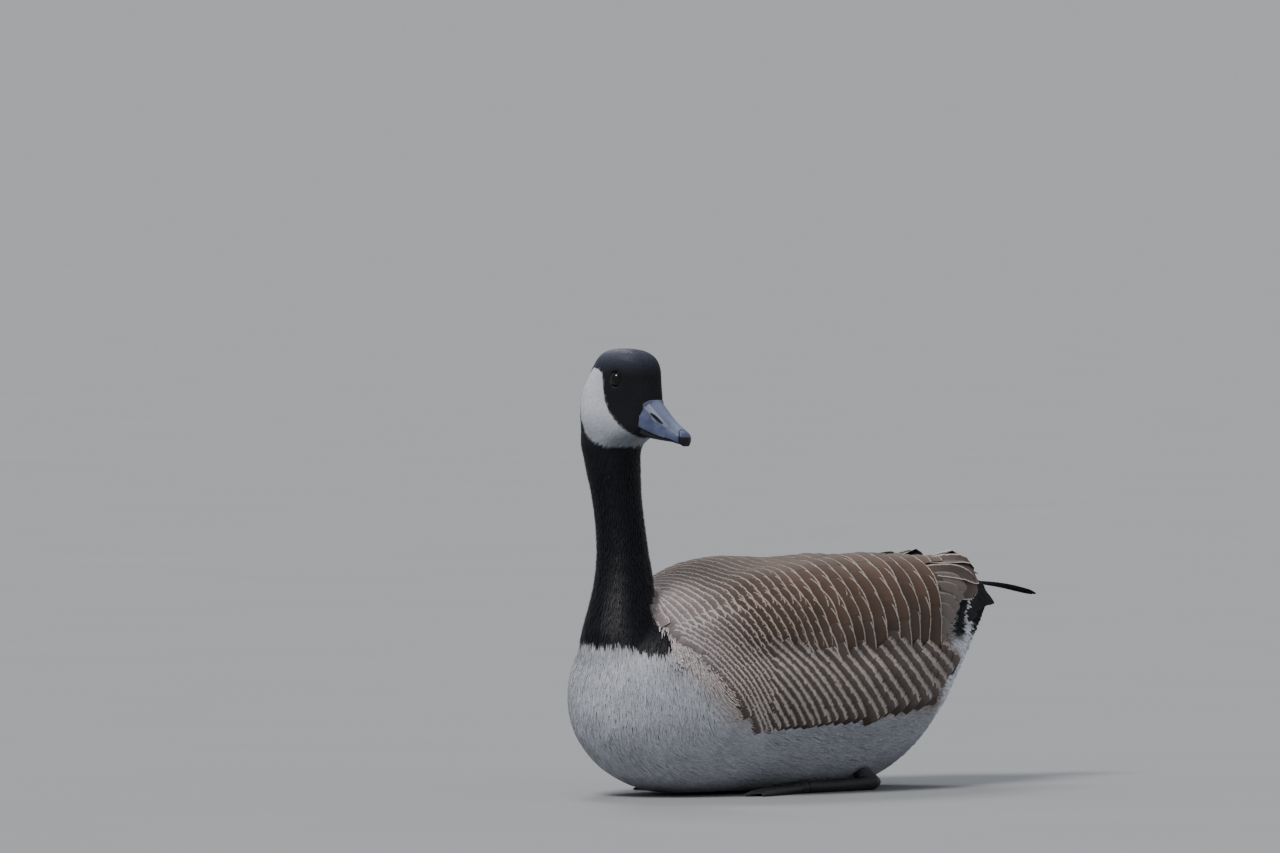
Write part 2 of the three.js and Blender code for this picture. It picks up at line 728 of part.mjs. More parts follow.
/** The shank with its heel, and the thigh's end that goes up into the belly. */
function leg(side) {
  const shank = limb(
    [
      { at: HEEL.clone().add(spot(0, 7, 0)), half: 4, tall: 4 },
      { at: HEEL, half: 7, tall: 7.4 },
      { at: spot(SHANK_ASIDE, 74, 5.6), half: 5.4, tall: 5.8 },
      { at: spot(SHANK_ASIDE + 1, 40, 5), half: 4.8, tall: 5.2 },
      { at: spot(SHANK_ASIDE + 2, FOOT_GAP_PLACE + TOUCHING_GAP, 5.4), half: 5.8, tall: 5.6 },
    ],
    side,
  );
  const thigh = limb(
    [
      { at: HEEL.clone().add(spot(0, 2, 0)), half: 5, tall: 6 },
      { at: spot(SHANK_ASIDE - 10, 74, 24), half: 9, tall: 9 },
      { at: spot(SHANK_ASIDE - 22, 56, 42), half: 12, tall: 12 },
    ],
    side,
  );
  return fuse([shank, thigh], [torsoClear]);
}

/** A toe with its joints, from the foot's root to the claw. */
function toe(turn, length, side) {
  const place = (share, z) =>
    spot(
      TOE_JOINT.x + length * share * Math.sin(turn),
      TOE_JOINT.y - 4 - length * share * Math.cos(turn),
      z,
    );
  return limb(
    [
      { at: place(0, 4.8), half: 4.6, tall: 4.8 },
      { at: place(0.34, 4), half: 4, tall: 4.2 },
      { at: place(0.68, 3.4), half: 3.4, tall: 3.6 },
      { at: place(0.9, 2.6), half: 2.4, tall: 2.6 },
      { at: place(1, 1.4), half: 0.9, tall: 1.2 },
    ],
    side,
    7,
  );
}

/** The web between two toes, folded in a low pleat. */
function web(fromTurn, fromLength, toTurn, toLength, side) {
  const face = (drop) => (u, v) => {
    const share = (u + 1) / 2;
    const reach = mix(fromLength, toLength, share) * (0.95 - 0.05 * Math.sin(Math.PI * share));
    const turn = mix(fromTurn, toTurn, share);
    const fold = 1.6 * Math.sin(Math.PI * share) * v;
    return spot(
      side * (TOE_JOINT.x + reach * v * Math.sin(turn)),
      TOE_JOINT.y - 4 - reach * v * Math.cos(turn),
      2 + fold - drop,
    );
  };
  return sheet(3, 3, face(0), face(1.2));
}

const TOES = [
  { turn: degrees(-2), length: 64 },
  { turn: degrees(7), length: 82 },
  { turn: degrees(16), length: 72 },
];

/** A webbed foot with its three front toes and the small hind toe. */
function foot(side) {
  const [inner, middle, outer] = TOES;
  const hub = limb(
    [
      { at: spot(SHANK_ASIDE + 2, FOOT_GAP_PLACE, 5.4), half: 5.8, tall: 5.6 },
      { at: spot(SHANK_ASIDE + 2, 4, 5.2), half: 7, tall: 5.4 },
      { at: spot(SHANK_ASIDE + 2, -8, 4), half: 6, tall: 4 },
    ],
    side,
  );
  const hindToe = limb(
    [
      { at: spot(SHANK_ASIDE - 3, 4, 3.4), half: 2.6, tall: 2.8 },
      { at: spot(SHANK_ASIDE - 9, 9, 2.4), half: 2, tall: 2.2 },
      { at: spot(SHANK_ASIDE - 14, 14, 1.4), half: 0.8, tall: 1.2 },
    ],
    side,
    8,
  );
  return fuse(
    [
      hub,
      hindToe,
      ...TOES.map(({ turn, length }) => toe(turn, length, side)),
      web(inner.turn, inner.length, middle.turn, middle.length, side),
      web(middle.turn, middle.length, outer.turn, outer.length, side),
    ],
    [torsoClear],
  );
}

// The scene

/** A finish by its colour, roughness and metalness. */
const finish = (color, roughness, metalness = 0) =>
  new THREE.MeshStandardMaterial({ color, roughness, metalness, flatShading: true });

const BLACK_PLUMAGE = finish(0x14131a, 0.75);
const GREY_BELLY = finish(0xb9b4ad, 0.8);
const BROWN_WING = finish(0x6b5547, 0.7);
const FLANK_BROWN = finish(0x8a7766, 0.75);
const BILL_HORN = finish(0x3c4258, 0.35);
const NAIL_HORN = finish(0x0d0d10, 0.25);
const LEG_SKIN = finish(0x1f1f21, 0.55);
const EYE_GLOSS = finish(0x120c0a, 0.08);

const goose = new THREE.Group();

/** Adds a solid to the model as a named mesh. */
function place(name, solid, material) {
  const data = solid.getMesh();
  const points = new Float32Array(data.numVert * 3);
  for (let i = 0; i < data.numVert; i++) {
    const from = i * data.numProp;
    points.set(data.vertProperties.subarray(from, from + 3), i * 3);
  }
  const geometry = new THREE.BufferGeometry();
  geometry.setAttribute("position", new THREE.BufferAttribute(points, 3));
  geometry.setIndex(new THREE.BufferAttribute(new Uint32Array(data.triVerts), 1));
  geometry.computeVertexNormals();
  const mesh = new THREE.Mesh(geometry, material);
  mesh.name = name;
  goose.add(mesh);
}

place("torso", torso, GREY_BELLY);
place("neck_lower", neckLower, BLACK_PLUMAGE);
place("neck_upper", neckUpper, BLACK_PLUMAGE);
place("head", head, BLACK_PLUMAGE);
place("bill_upper", maxilla, BILL_HORN);
place("bill_lower", mandible, BILL_HORN);
place("bill_nail", nail, NAIL_HORN);
place("tail", tail, BLACK_PLUMAGE);

const WING_SEEDS = { left: 11, right: 29 };
const FLANK_SEEDS = { left: 5, right: 17 };
for (const [name, side] of Object.entries(SIDES)) {
  const flankSeed = FLANK_SEEDS[name];
  const flankClear = fuse(flank(side, flankSeed, TOUCHING_GAP + 0.1));
  const wingWhole = fuse(wing(side, WING_SEEDS[name]), [torsoClear, flankClear]);
  place(`wing_${name}`, wingWhole, BROWN_WING);
  place(`flank_${name}`, fuse(flank(side, flankSeed), [torsoClear]), FLANK_BROWN);
  place(`eye_${name}`, eyeBall(side, 0), EYE_GLOSS);
  place(`leg_${name}`, leg(side), LEG_SKIN);
  place(`foot_${name}`, foot(side), LEG_SKIN);
}

export default goose;
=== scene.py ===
"""A Canada goose at rest on its belly: one skin, its plumage, bill, eyes and feet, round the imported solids.

Sizes are in millimetres until a mesh is made, in the solids' own frame: +Z is up, the breast points to -Y,
and the head looks along +X. A place round the body is an angle in degrees from the top, positive on the left.
"""

import logging
import math
from collections.abc import Callable, Iterable, Sequence
from dataclasses import dataclass, field, replace
from enum import Enum

import bmesh
import bpy
import numpy as np
from mathutils import Matrix, Vector
from mathutils.bvhtree import BVHTree
from mathutils.kdtree import KDTree

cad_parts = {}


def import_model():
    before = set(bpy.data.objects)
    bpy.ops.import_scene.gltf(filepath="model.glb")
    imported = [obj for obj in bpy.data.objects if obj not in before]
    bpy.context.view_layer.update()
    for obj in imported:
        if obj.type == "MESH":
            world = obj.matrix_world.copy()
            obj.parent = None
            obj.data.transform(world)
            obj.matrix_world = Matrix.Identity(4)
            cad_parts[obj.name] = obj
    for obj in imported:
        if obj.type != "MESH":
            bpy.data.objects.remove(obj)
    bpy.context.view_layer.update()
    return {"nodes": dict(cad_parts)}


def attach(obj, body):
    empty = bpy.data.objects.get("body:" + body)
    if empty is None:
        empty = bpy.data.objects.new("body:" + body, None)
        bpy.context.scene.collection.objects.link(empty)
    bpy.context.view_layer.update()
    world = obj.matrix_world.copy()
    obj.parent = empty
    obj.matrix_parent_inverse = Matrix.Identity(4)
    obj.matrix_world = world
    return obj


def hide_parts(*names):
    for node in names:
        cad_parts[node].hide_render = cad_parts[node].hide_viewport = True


MM = 0.001
BODY = "root"
WELD = 0.01
OUTSIDE = 260.0

# The bird's form: landmarks of head and neck, the height of the body's middle line, and the shoulders' humps.
BILL_BASE = (55.5, -165.0, 351.0)
FEATHERS_START = (62.0, -165.0, 333.0)
HEAD_MIDDLE = (20.0, -165.0, 345.0)
NECK_AXIS = (0.0, -150.0)
AXIS_HEIGHT = (
    (-197, -192, -178, -150, -100, -40, 40, 110, 160, 200, 240, 275, 349),
    (85, 86, 88, 92, 98, 102, 106, 112, 122, 137, 156, 170, 163),
)
SHOULDERS = (((-26.0, -20.0), (22.0, 38.0), 8.0), ((32.0, 78.0), (26.0, 46.0), 3.5))
BULK_NODES = ("torso", "wing_left", "wing_right", "flank_left", "flank_right")

# The bare base of the bill: a place and an outward way for each plane that bounds it, and how it is fitted.
SHIELD_SIDES = (
    ((53.4, 0.0, 0.0), (-1.0, 0.0, 0.0)),
    ((53.4, 0.0, 344.6), (-0.6, 0.0, 0.8)),
    ((0.0, 0.0, 347.8), (0.0, 0.0, 1.0)),
    ((0.0, 0.0, 326.0), (0.0, 0.0, -1.0)),
)
SHIELD_NARROW = 0.965
SHIELD_AHEAD = 0.4

# Where each kind of plumage begins and ends, along the body and upwards. The breast's edge slants: it is
# where y + BREAST_SLANT * z reaches a value.
HEAD_START = 300.0
NECK_CLEAR = 214.0
SIDE_LOW = 72.0
BREAST_REACH = -60.0
BREAST_SLANT = 0.86
BREAST_TUFTS_TO = -10.0
BREAST_EMERGES = 5.0
ROWS_FROM = -36.0
WING_START = -118.0
FLANK_FROM = -64.0
BACK_FROM = 128.0
BACK_TURN = 20.0
BROWN_TO = 168.0
RUMP_START = ((0, 46, 90, 110), (176, 176, 150, 168))
SOFT_RING = (4.0, 10.0, 16.0)
SOFT_RING_TOP = 152.0

# How feathers are spread, drawn and coloured. A feather takes its colour from the place where it shows.
CANDIDATES = 3.2
ROW_STOPS = 90
SHOWN_AT = 0.6
TUFT_SHOWN_AT = 0.5
EMERGES_AT = 0.4
UNDER_NECK = (0.0, 13.0, 0.0)
LONG_EDGE = 1.6
CORNER_POWER = 2.4
OVERHANG = 10.0
RAGGED = (91.7, 57.3, 33.1)

# The maps on each piece, and the size of a feather's patch on the one that the export bakes to.
VANE_MAP = "vane"
BAKE_MAP = "OFBake"
TUFT_PATCH = 0.003
VANE_PATCH = 0.012
PATCH_FILL = 0.94

Array = np.ndarray
Band = tuple[float, float]
log = logging.getLogger("goose")


class Side(Enum):
    """The bird's own left and right."""

    LEFT = 1
    RIGHT = -1

    @property
    def tag(self) -> str:
        """The word that names this side's pieces."""
        return self.name.lower()


def unit(vectors: Array) -> Array:
    """The vectors at length one."""
    return vectors / np.maximum(np.linalg.norm(vectors, axis=-1, keepdims=True), 1e-9)


def along_surface(vectors: Array, normals: Array) -> Array:
    """The vectors laid flat on the surface that the normals stand on, at length one."""
    return unit(vectors - normals * np.sum(vectors * normals, axis=-1, keepdims=True))


def smooth(values: Array, low: float, high: float) -> Array:
    """A soft step that is 0 at low and 1 at high, which may be the lower number."""
    t = np.clip((values - low) / (high - low), 0, 1)
    return t * t * (3 - 2 * t)


def blend(low: Array, high: Array, share: Array) -> Array:
    """The share of the way from low to high."""
    return low + (high - low) * share


class Wire:
    """A node's output, on which Python's own signs add Math nodes."""

    def __init__(self, board: "Board", socket: bpy.types.NodeSocket) -> None:
        """Keeps the board that the socket is on."""
        self.board = board
        self.socket = socket

    def __add__(self, other: "Wire | float") -> "Wire":
        """The sum."""
        return self.board.maths("ADD", self, other)

    def __sub__(self, other: "Wire | float") -> "Wire":
        """The difference."""
        return self.board.maths("SUBTRACT", self, other)

    def __rsub__(self, other: float) -> "Wire":
        """The difference from a number."""
        return self.board.maths("SUBTRACT", other, self)

    def __mul__(self, other: "Wire | float") -> "Wire":
        """The product."""
        return self.board.maths("MULTIPLY", self, other)

    def __truediv__(self, other: "Wire | float") -> "Wire":
        """The quotient."""
        return self.board.maths("DIVIDE", self, other)

    __radd__ = __add__
    __rmul__ = __mul__

    def power(self, exponent: float) -> "Wire":
        """This value to a power."""
        return self.board.maths("POWER", self, exponent)

    def size(self) -> "Wire":
        """This value without its sign."""
        return self.board.maths("ABSOLUTE", self)

    def sine(self) -> "Wire":
        """The sine of this value."""
        return self.board.maths("SINE", self)

    def step(self, low: float, high: float) -> "Wire":
        """Adds a soft step that is 0 at low and 1 at high.

        Args:
            low: The lower end.
            high: The upper end.

        Returns:
            The step.
        """
        settings = {"interpolation_type": "SMOOTHSTEP"}
        values = {"Value": self, "From Min": low, "From Max": high}
        return self.board.node("ShaderNodeMapRange", settings, values)


class Board:
    """The node board of one material."""

    def __init__(self, name: str) -> None:
        """Starts a material with an empty board.

        Args:
            name: Its name.
        """
        self.material = bpy.data.materials.new(name)
        self.material.use_nodes = True
        self.tree = self.material.node_tree
        self.tree.nodes.clear()

    def node(self, kind: str, settings: dict, values: dict, output: int | str = 0) -> Wire:
        """Adds a node.

        Args:
            kind: The node's type.
            settings: Its own settings, which are set first. A ramp's stops are a list under the name stops.
            values: Numbers, colours or wires for its inputs, by name or place.
            output: Which of its outputs is given back.

        Returns:
            The output as a wire.
        """
        made = self.tree.nodes.new(kind)
        for key, value in settings.items():
            if key == "stops":
                self._set_stops(made.color_ramp, value)
            else:
                setattr(made, key, value)
        for key, value in values.items():
            if isinstance(value, Wire):
                self.tree.links.new(value.socket, made.inputs[key])
            else:
                made.inputs[key].default_value = value
        return Wire(self, made.outputs[output])

    @staticmethod
    def _set_stops(ramp: bpy.types.ColorRamp, stops: Sequence[tuple[float, Sequence[float]]]) -> None:
        """Gives a ramp its stops.

        Args:
            ramp: The ramp.
            stops: A place and a colour for each.
        """
        for place, _ in stops[2:]:
            ramp.elements.new(place)
        for element, (place, colour) in zip(ramp.elements, stops):
            element.position = place
            element.color = (*colour, 1)

    def maths(self, operation: str, *values: Wire | float) -> Wire:
        """Adds a Math node on the values."""
        return self.node("ShaderNodeMath", {"operation": operation}, dict(enumerate(values)))

    def mix(self, share: Wire | float, low: Wire | Sequence[float], high: Wire | Sequence[float]) -> Wire:
        """Mixes two colours.

        Args:
            share: How much of the second.
            low: The first colour.
            high: The second colour.

        Returns:
            The mixed colour.
        """
        colours = [c if isinstance(c, Wire) else (*c, 1) for c in (low, high)]
        values = {"Factor": share, 6: colours[0], 7: colours[1]}
        return self.node("ShaderNodeMix", {"data_type": "RGBA"}, values, 2)

    def shade(self, colour: Wire, factor: Wire) -> Wire:
        """Scales a colour by a number."""
        settings = {"operation": "SCALE"}
        return self.node("ShaderNodeVectorMath", settings, {0: colour, "Scale": factor})

    def place(self) -> Wire:
        """Where on the object a point is, in metres."""
        return self.node("ShaderNodeTexCoord", {}, {}, "Object")

    def attribute(self, name: str, output: str = "Color") -> Wire:
        """What the mesh carries under that name."""
        return self.node("ShaderNodeAttribute", {"attribute_name": name}, {}, output)

    def numbers(self, vector: Wire) -> tuple[Wire, Wire, Wire]:
        """The three numbers of a vector."""
        parts = self.node("ShaderNodeSeparateXYZ", {}, {0: vector})
        return tuple(Wire(self, output) for output in parts.socket.node.outputs)

    def uv(self, name: str) -> Wire:
        """A UV map's place, its third number 0."""
        return self.node("ShaderNodeUVMap", {"uv_map": name}, {})

    def noise(self, place: Wire, scale: float, detail: float = 2.0) -> Wire:
        """A soft random value about one half."""
        values = {"Vector": place, "Scale": scale, "Detail": detail}
        return self.node("ShaderNodeTexNoise", {}, values)

    def stretch(self, place: Wire, scale: Sequence[float]) -> Wire:
        """The place scaled along each axis."""
        return self.node("ShaderNodeMapping", {}, {"Vector": place, "Scale": scale})

    def bump(self, height: Wire, depth: float, strength: float = 1.0) -> Wire:
        """The normal of a surface with that relief, its depth in millimetres."""
        values = {"Height": height, "Distance": depth * MM, "Strength": strength}
        return self.node("ShaderNodeBump", {}, values)

    def finish(self, values: dict) -> bpy.types.Material:
        """Ends the board in a Principled shader.

        Args:
            values: The shader's values, by name.

        Returns:
            The material.
        """
        shader = self.node("ShaderNodeBsdfPrincipled", {}, values)
        end = self.tree.nodes.new("ShaderNodeOutputMaterial")
        self.tree.links.new(shader.socket, end.inputs["Surface"])
        return self.material


class Surface:
    """A closed mesh as something to lay feathers on, in millimetres."""

    def __init__(self, piece: bpy.types.Object) -> None:
        """Reads the piece's mesh.

        Args:
            piece: A mesh object whose faces point outwards.
        """
        mesh = piece.data
        mesh.calc_loop_triangles()
        self.points = np.empty(len(mesh.vertices) * 3)
        mesh.vertices.foreach_get("co", self.points)
        self.points = self.points.reshape(-1, 3) / MM
        self.normals = np.empty(len(mesh.vertices) * 3)
        mesh.vertex_normals.foreach_get("vector", self.normals)
        self.normals = self.normals.reshape(-1, 3)
        corners = np.empty(len(mesh.loop_triangles) * 3, dtype=np.int32)
        mesh.loop_triangles.foreach_get("vertices", corners)
        self.triangles = corners.reshape(-1, 3)
        self.tree = BVHTree.FromPolygons(self.points.tolist(), self.triangles.tolist())

    def nearest(self, places: Array) -> tuple[Array, Array]:
        """Finds the surface's points that are nearest to places.

        Args:
            places: The places.

        Returns:
            The points, with their smooth normals.
        """
        found = [self.tree.find_nearest(p) for p in places.tolist()]
        points = np.array([f[0] for f in found])
        return points, self._normals_at(points, np.array([f[2] for f in found]))

    def seen_from(self, starts: Array, ways: Array) -> tuple[Array, Array, Array]:
        """Where rays first meet the surface.

        Args:
            starts: Where each ray starts.
            ways: Its direction.

        Returns:
            The points, their smooth normals, and which rays met anything.
        """
        found = [self.tree.ray_cast(s, w) for s, w in zip(starts.tolist(), ways.tolist())]
        hit = np.array([f[0] is not None for f in found])
        points = np.array([f[0] for f in found if f[0] is not None]).reshape(-1, 3)
        faces = np.array([f[2] for f in found if f[0] is not None], dtype=int)
        return points, self._normals_at(points, faces), hit

    def round_at(self, y: Array, turn: Array) -> tuple[Array, Array, Array]:
        """Where the surface is at places along and round the body.

        Args:
            y: The places along it.
            turn: Their angles from the top.

        Returns:
            The points, their smooth normals, and which places have any.
        """
        angle = np.radians(turn)
        flat = np.zeros_like(y)
        starts = np.stack([flat, y, np.interp(y, *AXIS_HEIGHT)], axis=-1)
        return self.seen_from(starts, np.stack([np.sin(angle), flat, np.cos(angle)], axis=-1))

    def _normals_at(self, points: Array, faces: Array) -> Array:
        """Works out smooth normals on the surface.

        Args:
            points: Places on it.
            faces: The triangle that each is on.

        Returns:
            The normals.
        """
        corners = self.triangles[faces]
        a, b, c = (self.points[corners[:, i]] for i in range(3))
        whole = np.linalg.norm(np.cross(b - a, c - a), axis=1)[:, None] + 1e-12
        shares = [
            np.linalg.norm(np.cross(c - b, points - b), axis=1)[:, None] / whole,
            np.linalg.norm(np.cross(a - c, points - c), axis=1)[:, None] / whole,
            np.linalg.norm(np.cross(b - a, points - a), axis=1)[:, None] / whole,
        ]
        return unit(sum(share * self.normals[corners[:, i]] for i, share in enumerate(shares)))

    def scatter(
        self, inside: Callable[[Array], Array], spacing: Callable[[Array], Array], seed: int
    ) -> Array:
        """Spreads points evenly over part of the surface.

        Args:
            inside: Tells which of some points are in the part.
            spacing: The least distance between neighbours at each point.
            seed: What the random draws start from.

        Returns:
            The points.
        """
        draw = np.random.default_rng(seed)
        a, b, c = (self.points[self.triangles[:, i]] for i in range(3))
        area = np.linalg.norm(np.cross(b - a, c - a), axis=1) / 2
        middle = (a + b + c) / 3
        tries = np.where(inside(middle), CANDIDATES * area / spacing(middle) ** 2, 0)
        picked = np.repeat(np.arange(len(area)), draw.poisson(tries))
        r = np.sqrt(draw.random(len(picked)))[:, None]
        s = draw.random(len(picked))[:, None]
        points = (1 - r) * a[picked] + r * (1 - s) * b[picked] + r * s * c[picked]
        draw.shuffle(points)
        points = points[inside(points)]
        gaps = spacing(points)
        tree = KDTree(len(points))
        for i, point in enumerate(points.tolist()):
            tree.insert(point, i)
        tree.balance()
        free = np.ones(len(points), dtype=bool)
        kept = []
        for i, (point, gap) in enumerate(zip(points.tolist(), gaps.tolist())):
            if free[i]:
                kept.append(i)
                free[[near[1] for near in tree.find_range(point, gap)]] = False
        return points[kept]


@dataclass(frozen=True)
class Shape:
    """How one kind of feather is cut and how it lies.

    Attributes:
        rows: Faces from root to tip.
        columns: Faces across.
        sunk: How far the root is under the surface.
        risen: How far the tip is over it.
        arch: How much the middle bows up.
        camber: How far the edges drop, as a share of the width.
        tilt: How far one edge is over the other, as a share of the width.
        root: The root's width as a share of the whole.
        shoulder: Where along it the feather is widest.
        square: How blunt the tip is; 2 is round.
        tip: The width left at the very tip.
        crowd: How much closer the rows stand at the tip.
        corner: How far the tip's corners are drawn back, as a share of the length.
        hugs: Whether the whole feather follows the surface, and not its middle line alone.
        fray: How far loose barbs stand out past the tip of a long feather.
    """

    rows: int = 2
    columns: int = 2
    sunk: float = 0.6
    risen: float = 0.8
    arch: float = 0.0
    camber: float = 0.1
    tilt: float = 0.0
    root: float = 0.4
    shoulder: float = 0.45
    square: float = 2.0
    tip: float = 0.08
    crowd: float = 1.0
    corner: float = 0.0
    hugs: bool = False
    fray: float = 0.0

    def stops(self) -> Array:
        """The places of the rows, from 0 at the root to 1 at the tip."""
        return 1 - (1 - np.arange(self.rows + 1) / self.rows) ** self.crowd

    def outline(self, v: Array) -> Array:
        """Works out how wide the feather is.

        Args:
            v: Places along it.

        Returns:
            The half width there, as a share of the whole.
        """
        grown = self.root + (1 - self.root) * smooth(v, 0, self.shoulder)
        past = np.clip((v - self.shoulder) / (1 - self.shoulder), 0, 1)
        return grown * (self.tip + (1 - self.tip) * (1 - past**self.square) ** (1 / self.square))

    def drawn_back(self, v: Array | float) -> Array:
        """How far the points across a row at v are drawn back, as shares of the length."""
        across = np.linspace(-1, 1, self.columns + 1)
        return self.corner * np.asarray(v)[..., None] ** 3 * np.abs(across) ** CORNER_POWER


@dataclass
class Tract:
    """Feathers of one kind, as arrays with a row for each.

    The normals are the skin's at the roots, and the headings the ways that the feathers grow. Tone is their
    colour and trim their edge's, which is as wide as edge at the tip and as side_edge along the sides. Lift
    is how far their tips stand up besides what their shape says.
    """

    roots: Array
    normals: Array
    heading: Array
    length: Array
    width: Array
    tone: Array
    trim: Array
    edge: Array | float = 0.4
    side_edge: float = 0.4
    lift: Array | float = 0.0

    def __len__(self) -> int:
        """How many feathers there are."""
        return len(self.roots)

    def part(self, chosen: Array) -> "Tract":
        """The chosen feathers alone."""
        arrays = {key: value[chosen] for key, value in vars(self).items() if isinstance(value, Array)}
        return replace(self, **arrays)


class Fray:
    """The fine loose barbs along a long feather's tip. Of a pair, a draw times the second is added."""

    GAP = 0.3
    USUAL_LENGTH = 40.0
    ROOT = 1.3
    REACH = (0.45, 0.75)
    STOPS = (0.0, 0.6, 1.0)
    WIDTHS = (0.4, 0.32, 0.05)
    RISE = 0.3
    STRAY = 0.11
    LIGHT = (0.62, 0.5)
    EDGE = 0.01
    FIRST = 0.93
    INSIDE = 0.999

    @classmethod
    def owners(cls, tract: Tract) -> Array:
        """Which feather each barb is on."""
        return np.repeat(np.arange(len(tract)), np.maximum(tract.width / cls.GAP, 2).astype(int))

    @classmethod
    def grids(cls, grid: Array, owner: Array, length: Array, draw: np.random.Generator) -> Array:
        """Draws the barbs.

        Args:
            grid: The points of the feathers, by feather, row and column.
            owner: Which feather each barb is on.
            length: How far it may stand out.
            draw: The random draws.

        Returns:
            The barbs' points, by barb, row and column.
        """
        spot = draw.random(len(owner)) * (grid.shape[2] - 1) * cls.INSIDE
        cell = spot.astype(int)
        share = (spot - cell)[:, None]
        tip, before = (blend(grid[owner, row, cell], grid[owner, row, cell + 1], share) for row in (-1, -2))
        side = unit(grid[owner, -1, cell + 1] - grid[owner, -1, cell])
        way = unit(tip - before)
        up = np.cross(side, way)
        stray = draw.normal(size=(2, len(owner), 1))
        way = unit(way + cls.STRAY * stray[0] * side + 0.5 * cls.STRAY * stray[1] * up)
        least, more = cls.REACH
        reach = (cls.ROOT + length * (least + more * draw.random(len(owner))))[:, None]
        lines = []
        for along, breadth in zip(cls.STOPS, cls.WIDTHS):
            middle = tip + way * (reach * along - cls.ROOT) + up * cls.RISE * (1 - along)
            lines.append(np.stack([middle - side * breadth / 2, middle + side * breadth / 2], axis=1))
        return np.stack(lines, axis=1)

    @classmethod
    def tones(cls, trim: Array, draw: np.random.Generator) -> Array:
        """Picks the barbs' colours.

        Args:
            trim: The edge colours of their feathers.
            draw: The random draws.

        Returns:
            A colour for each, and how much of it the edge takes.
        """
        least, more = cls.LIGHT
        light = least + more * draw.random(size=(len(trim), 1))
        return np.concatenate([np.clip(trim * light, 0, 1), np.full((len(trim), 1), cls.EDGE)], axis=1)


@dataclass
class Sheets:
    """Grids of points that make feathers, gathered for one piece.

    Each point has its place on its feather, in across, and on the map that the export bakes to, in bake. Its
    tone is its colour and how much of the length the edge takes, and its trim is its edge colour and how much
    of the half width the edge takes.
    """

    name: str
    points: list[Array] = field(default_factory=list)
    faces: list[Array] = field(default_factory=list)
    across: list[Array] = field(default_factory=list)
    tone: list[Array] = field(default_factory=list)
    trim: list[Array] = field(default_factory=list)
    bake: list[Array] = field(default_factory=list)
    count: int = 0

    def add(self, grid: Array, tone: Array, trim: Array, bake: Array, first: float = 0.0) -> None:
        """Adds feathers.

        Args:
            grid: Points, by feather, row and column.
            tone: Each feather's colour, and how much of its length the edge takes.
            trim: Each feather's edge colour, and how much of its half width the edge takes.
            bake: Each feather's corner and size on the map that the export bakes to.
            first: Where along a whole feather the grids start, from 0 at its root to 1 at its tip.
        """
        many, rows, columns, _ = grid.shape
        start = self.count + np.arange(many)[:, None, None] * rows * columns
        r, c = np.meshgrid(np.arange(rows - 1), np.arange(columns - 1), indexing="ij")
        corner = start + (r * columns + c)[None]
        quads = np.stack([corner, corner + 1, corner + columns + 1, corner + columns], axis=-1)
        u, v = np.meshgrid(np.linspace(0, 1, columns), np.linspace(0, 1, rows))
        local = np.broadcast_to(np.stack([u, v], axis=-1), (many, rows, columns, 2))
        on_vane = local * np.array([1, 1 - first]) + np.array([0, first])
        self.points.append(grid.reshape(-1, 3))
        self.faces.append(quads.reshape(-1, 4))
        self.across.append(on_vane.reshape(-1, 2))
        self.bake.append((bake[:, None, None, :2] + local * bake[:, None, None, 2:]).reshape(-1, 2))
        self.tone.append(np.repeat(tone, rows * columns, axis=0))
        self.trim.append(np.repeat(trim, rows * columns, axis=0))
        self.count += many * rows * columns

    def piece(self, material: bpy.types.Material) -> bpy.types.Object:
        """Makes the object.

        Args:
            material: Its finish.

        Returns:
            The object, with its maps and colours.
        """
        points, faces = np.concatenate(self.points), np.concatenate(self.faces)
        mesh = bpy.data.meshes.new(self.name)
        mesh.vertices.add(len(points))
        mesh.vertices.foreach_set("co", (points * MM).ravel())
        mesh.loops.add(faces.size)
        mesh.loops.foreach_set("vertex_index", faces.ravel().astype(np.int32))
        mesh.polygons.add(len(faces))
        mesh.polygons.foreach_set("loop_start", np.arange(len(faces), dtype=np.int32) * 4)
        mesh.polygons.foreach_set("use_smooth", np.ones(len(faces), dtype=bool))
        mesh.update(calc_edges=True)
        for name, values in ((VANE_MAP, self.across), (BAKE_MAP, self.bake)):
            layer = mesh.uv_layers.new(name=name)
            layer.uv.foreach_set("vector", np.concatenate(values)[faces.ravel()].ravel())
        for name, values in (("tone", self.tone), ("trim", self.trim)):
            colours = mesh.attributes.new(name, "FLOAT_COLOR", "POINT")
            colours.data.foreach_set("color", np.concatenate(values).ravel())
        mesh.materials.append(material)
        mesh.validate()
        return add_object(self.name, mesh)


def edged(tone: Array, trim: Array, length: Array, width: Array, edges: Band) -> tuple[Array, Array]:
    """Adds to feathers' colours how much of them their edge takes.

    Args:
        tone: Their colours.
        trim: Their edge colours.
        length: Their lengths.
        width: Their widths.
        edges: How wide the pale edge is at the tip and along the sides, in millimetres.

    Returns:
        The two colours with a fourth number each.
    """
    shares = (edges[0] / length)[:, None], (2 * edges[1] / width)[:, None]
    colours = (np.broadcast_to(colour, (len(length), 3)) for colour in (tone, trim))
    return tuple(np.concatenate(parts, axis=1) for parts in zip(colours, shares))


def add_object(name: str, data: bpy.types.ID) -> bpy.types.Object:
    """Puts a mesh, a camera or a light in the scene.

    Args:
        name: The object's name.
        data: What it is.

    Returns:
        The object.
    """
    made = bpy.data.objects.new(name, data)
    bpy.context.scene.collection.objects.link(made)
    return made


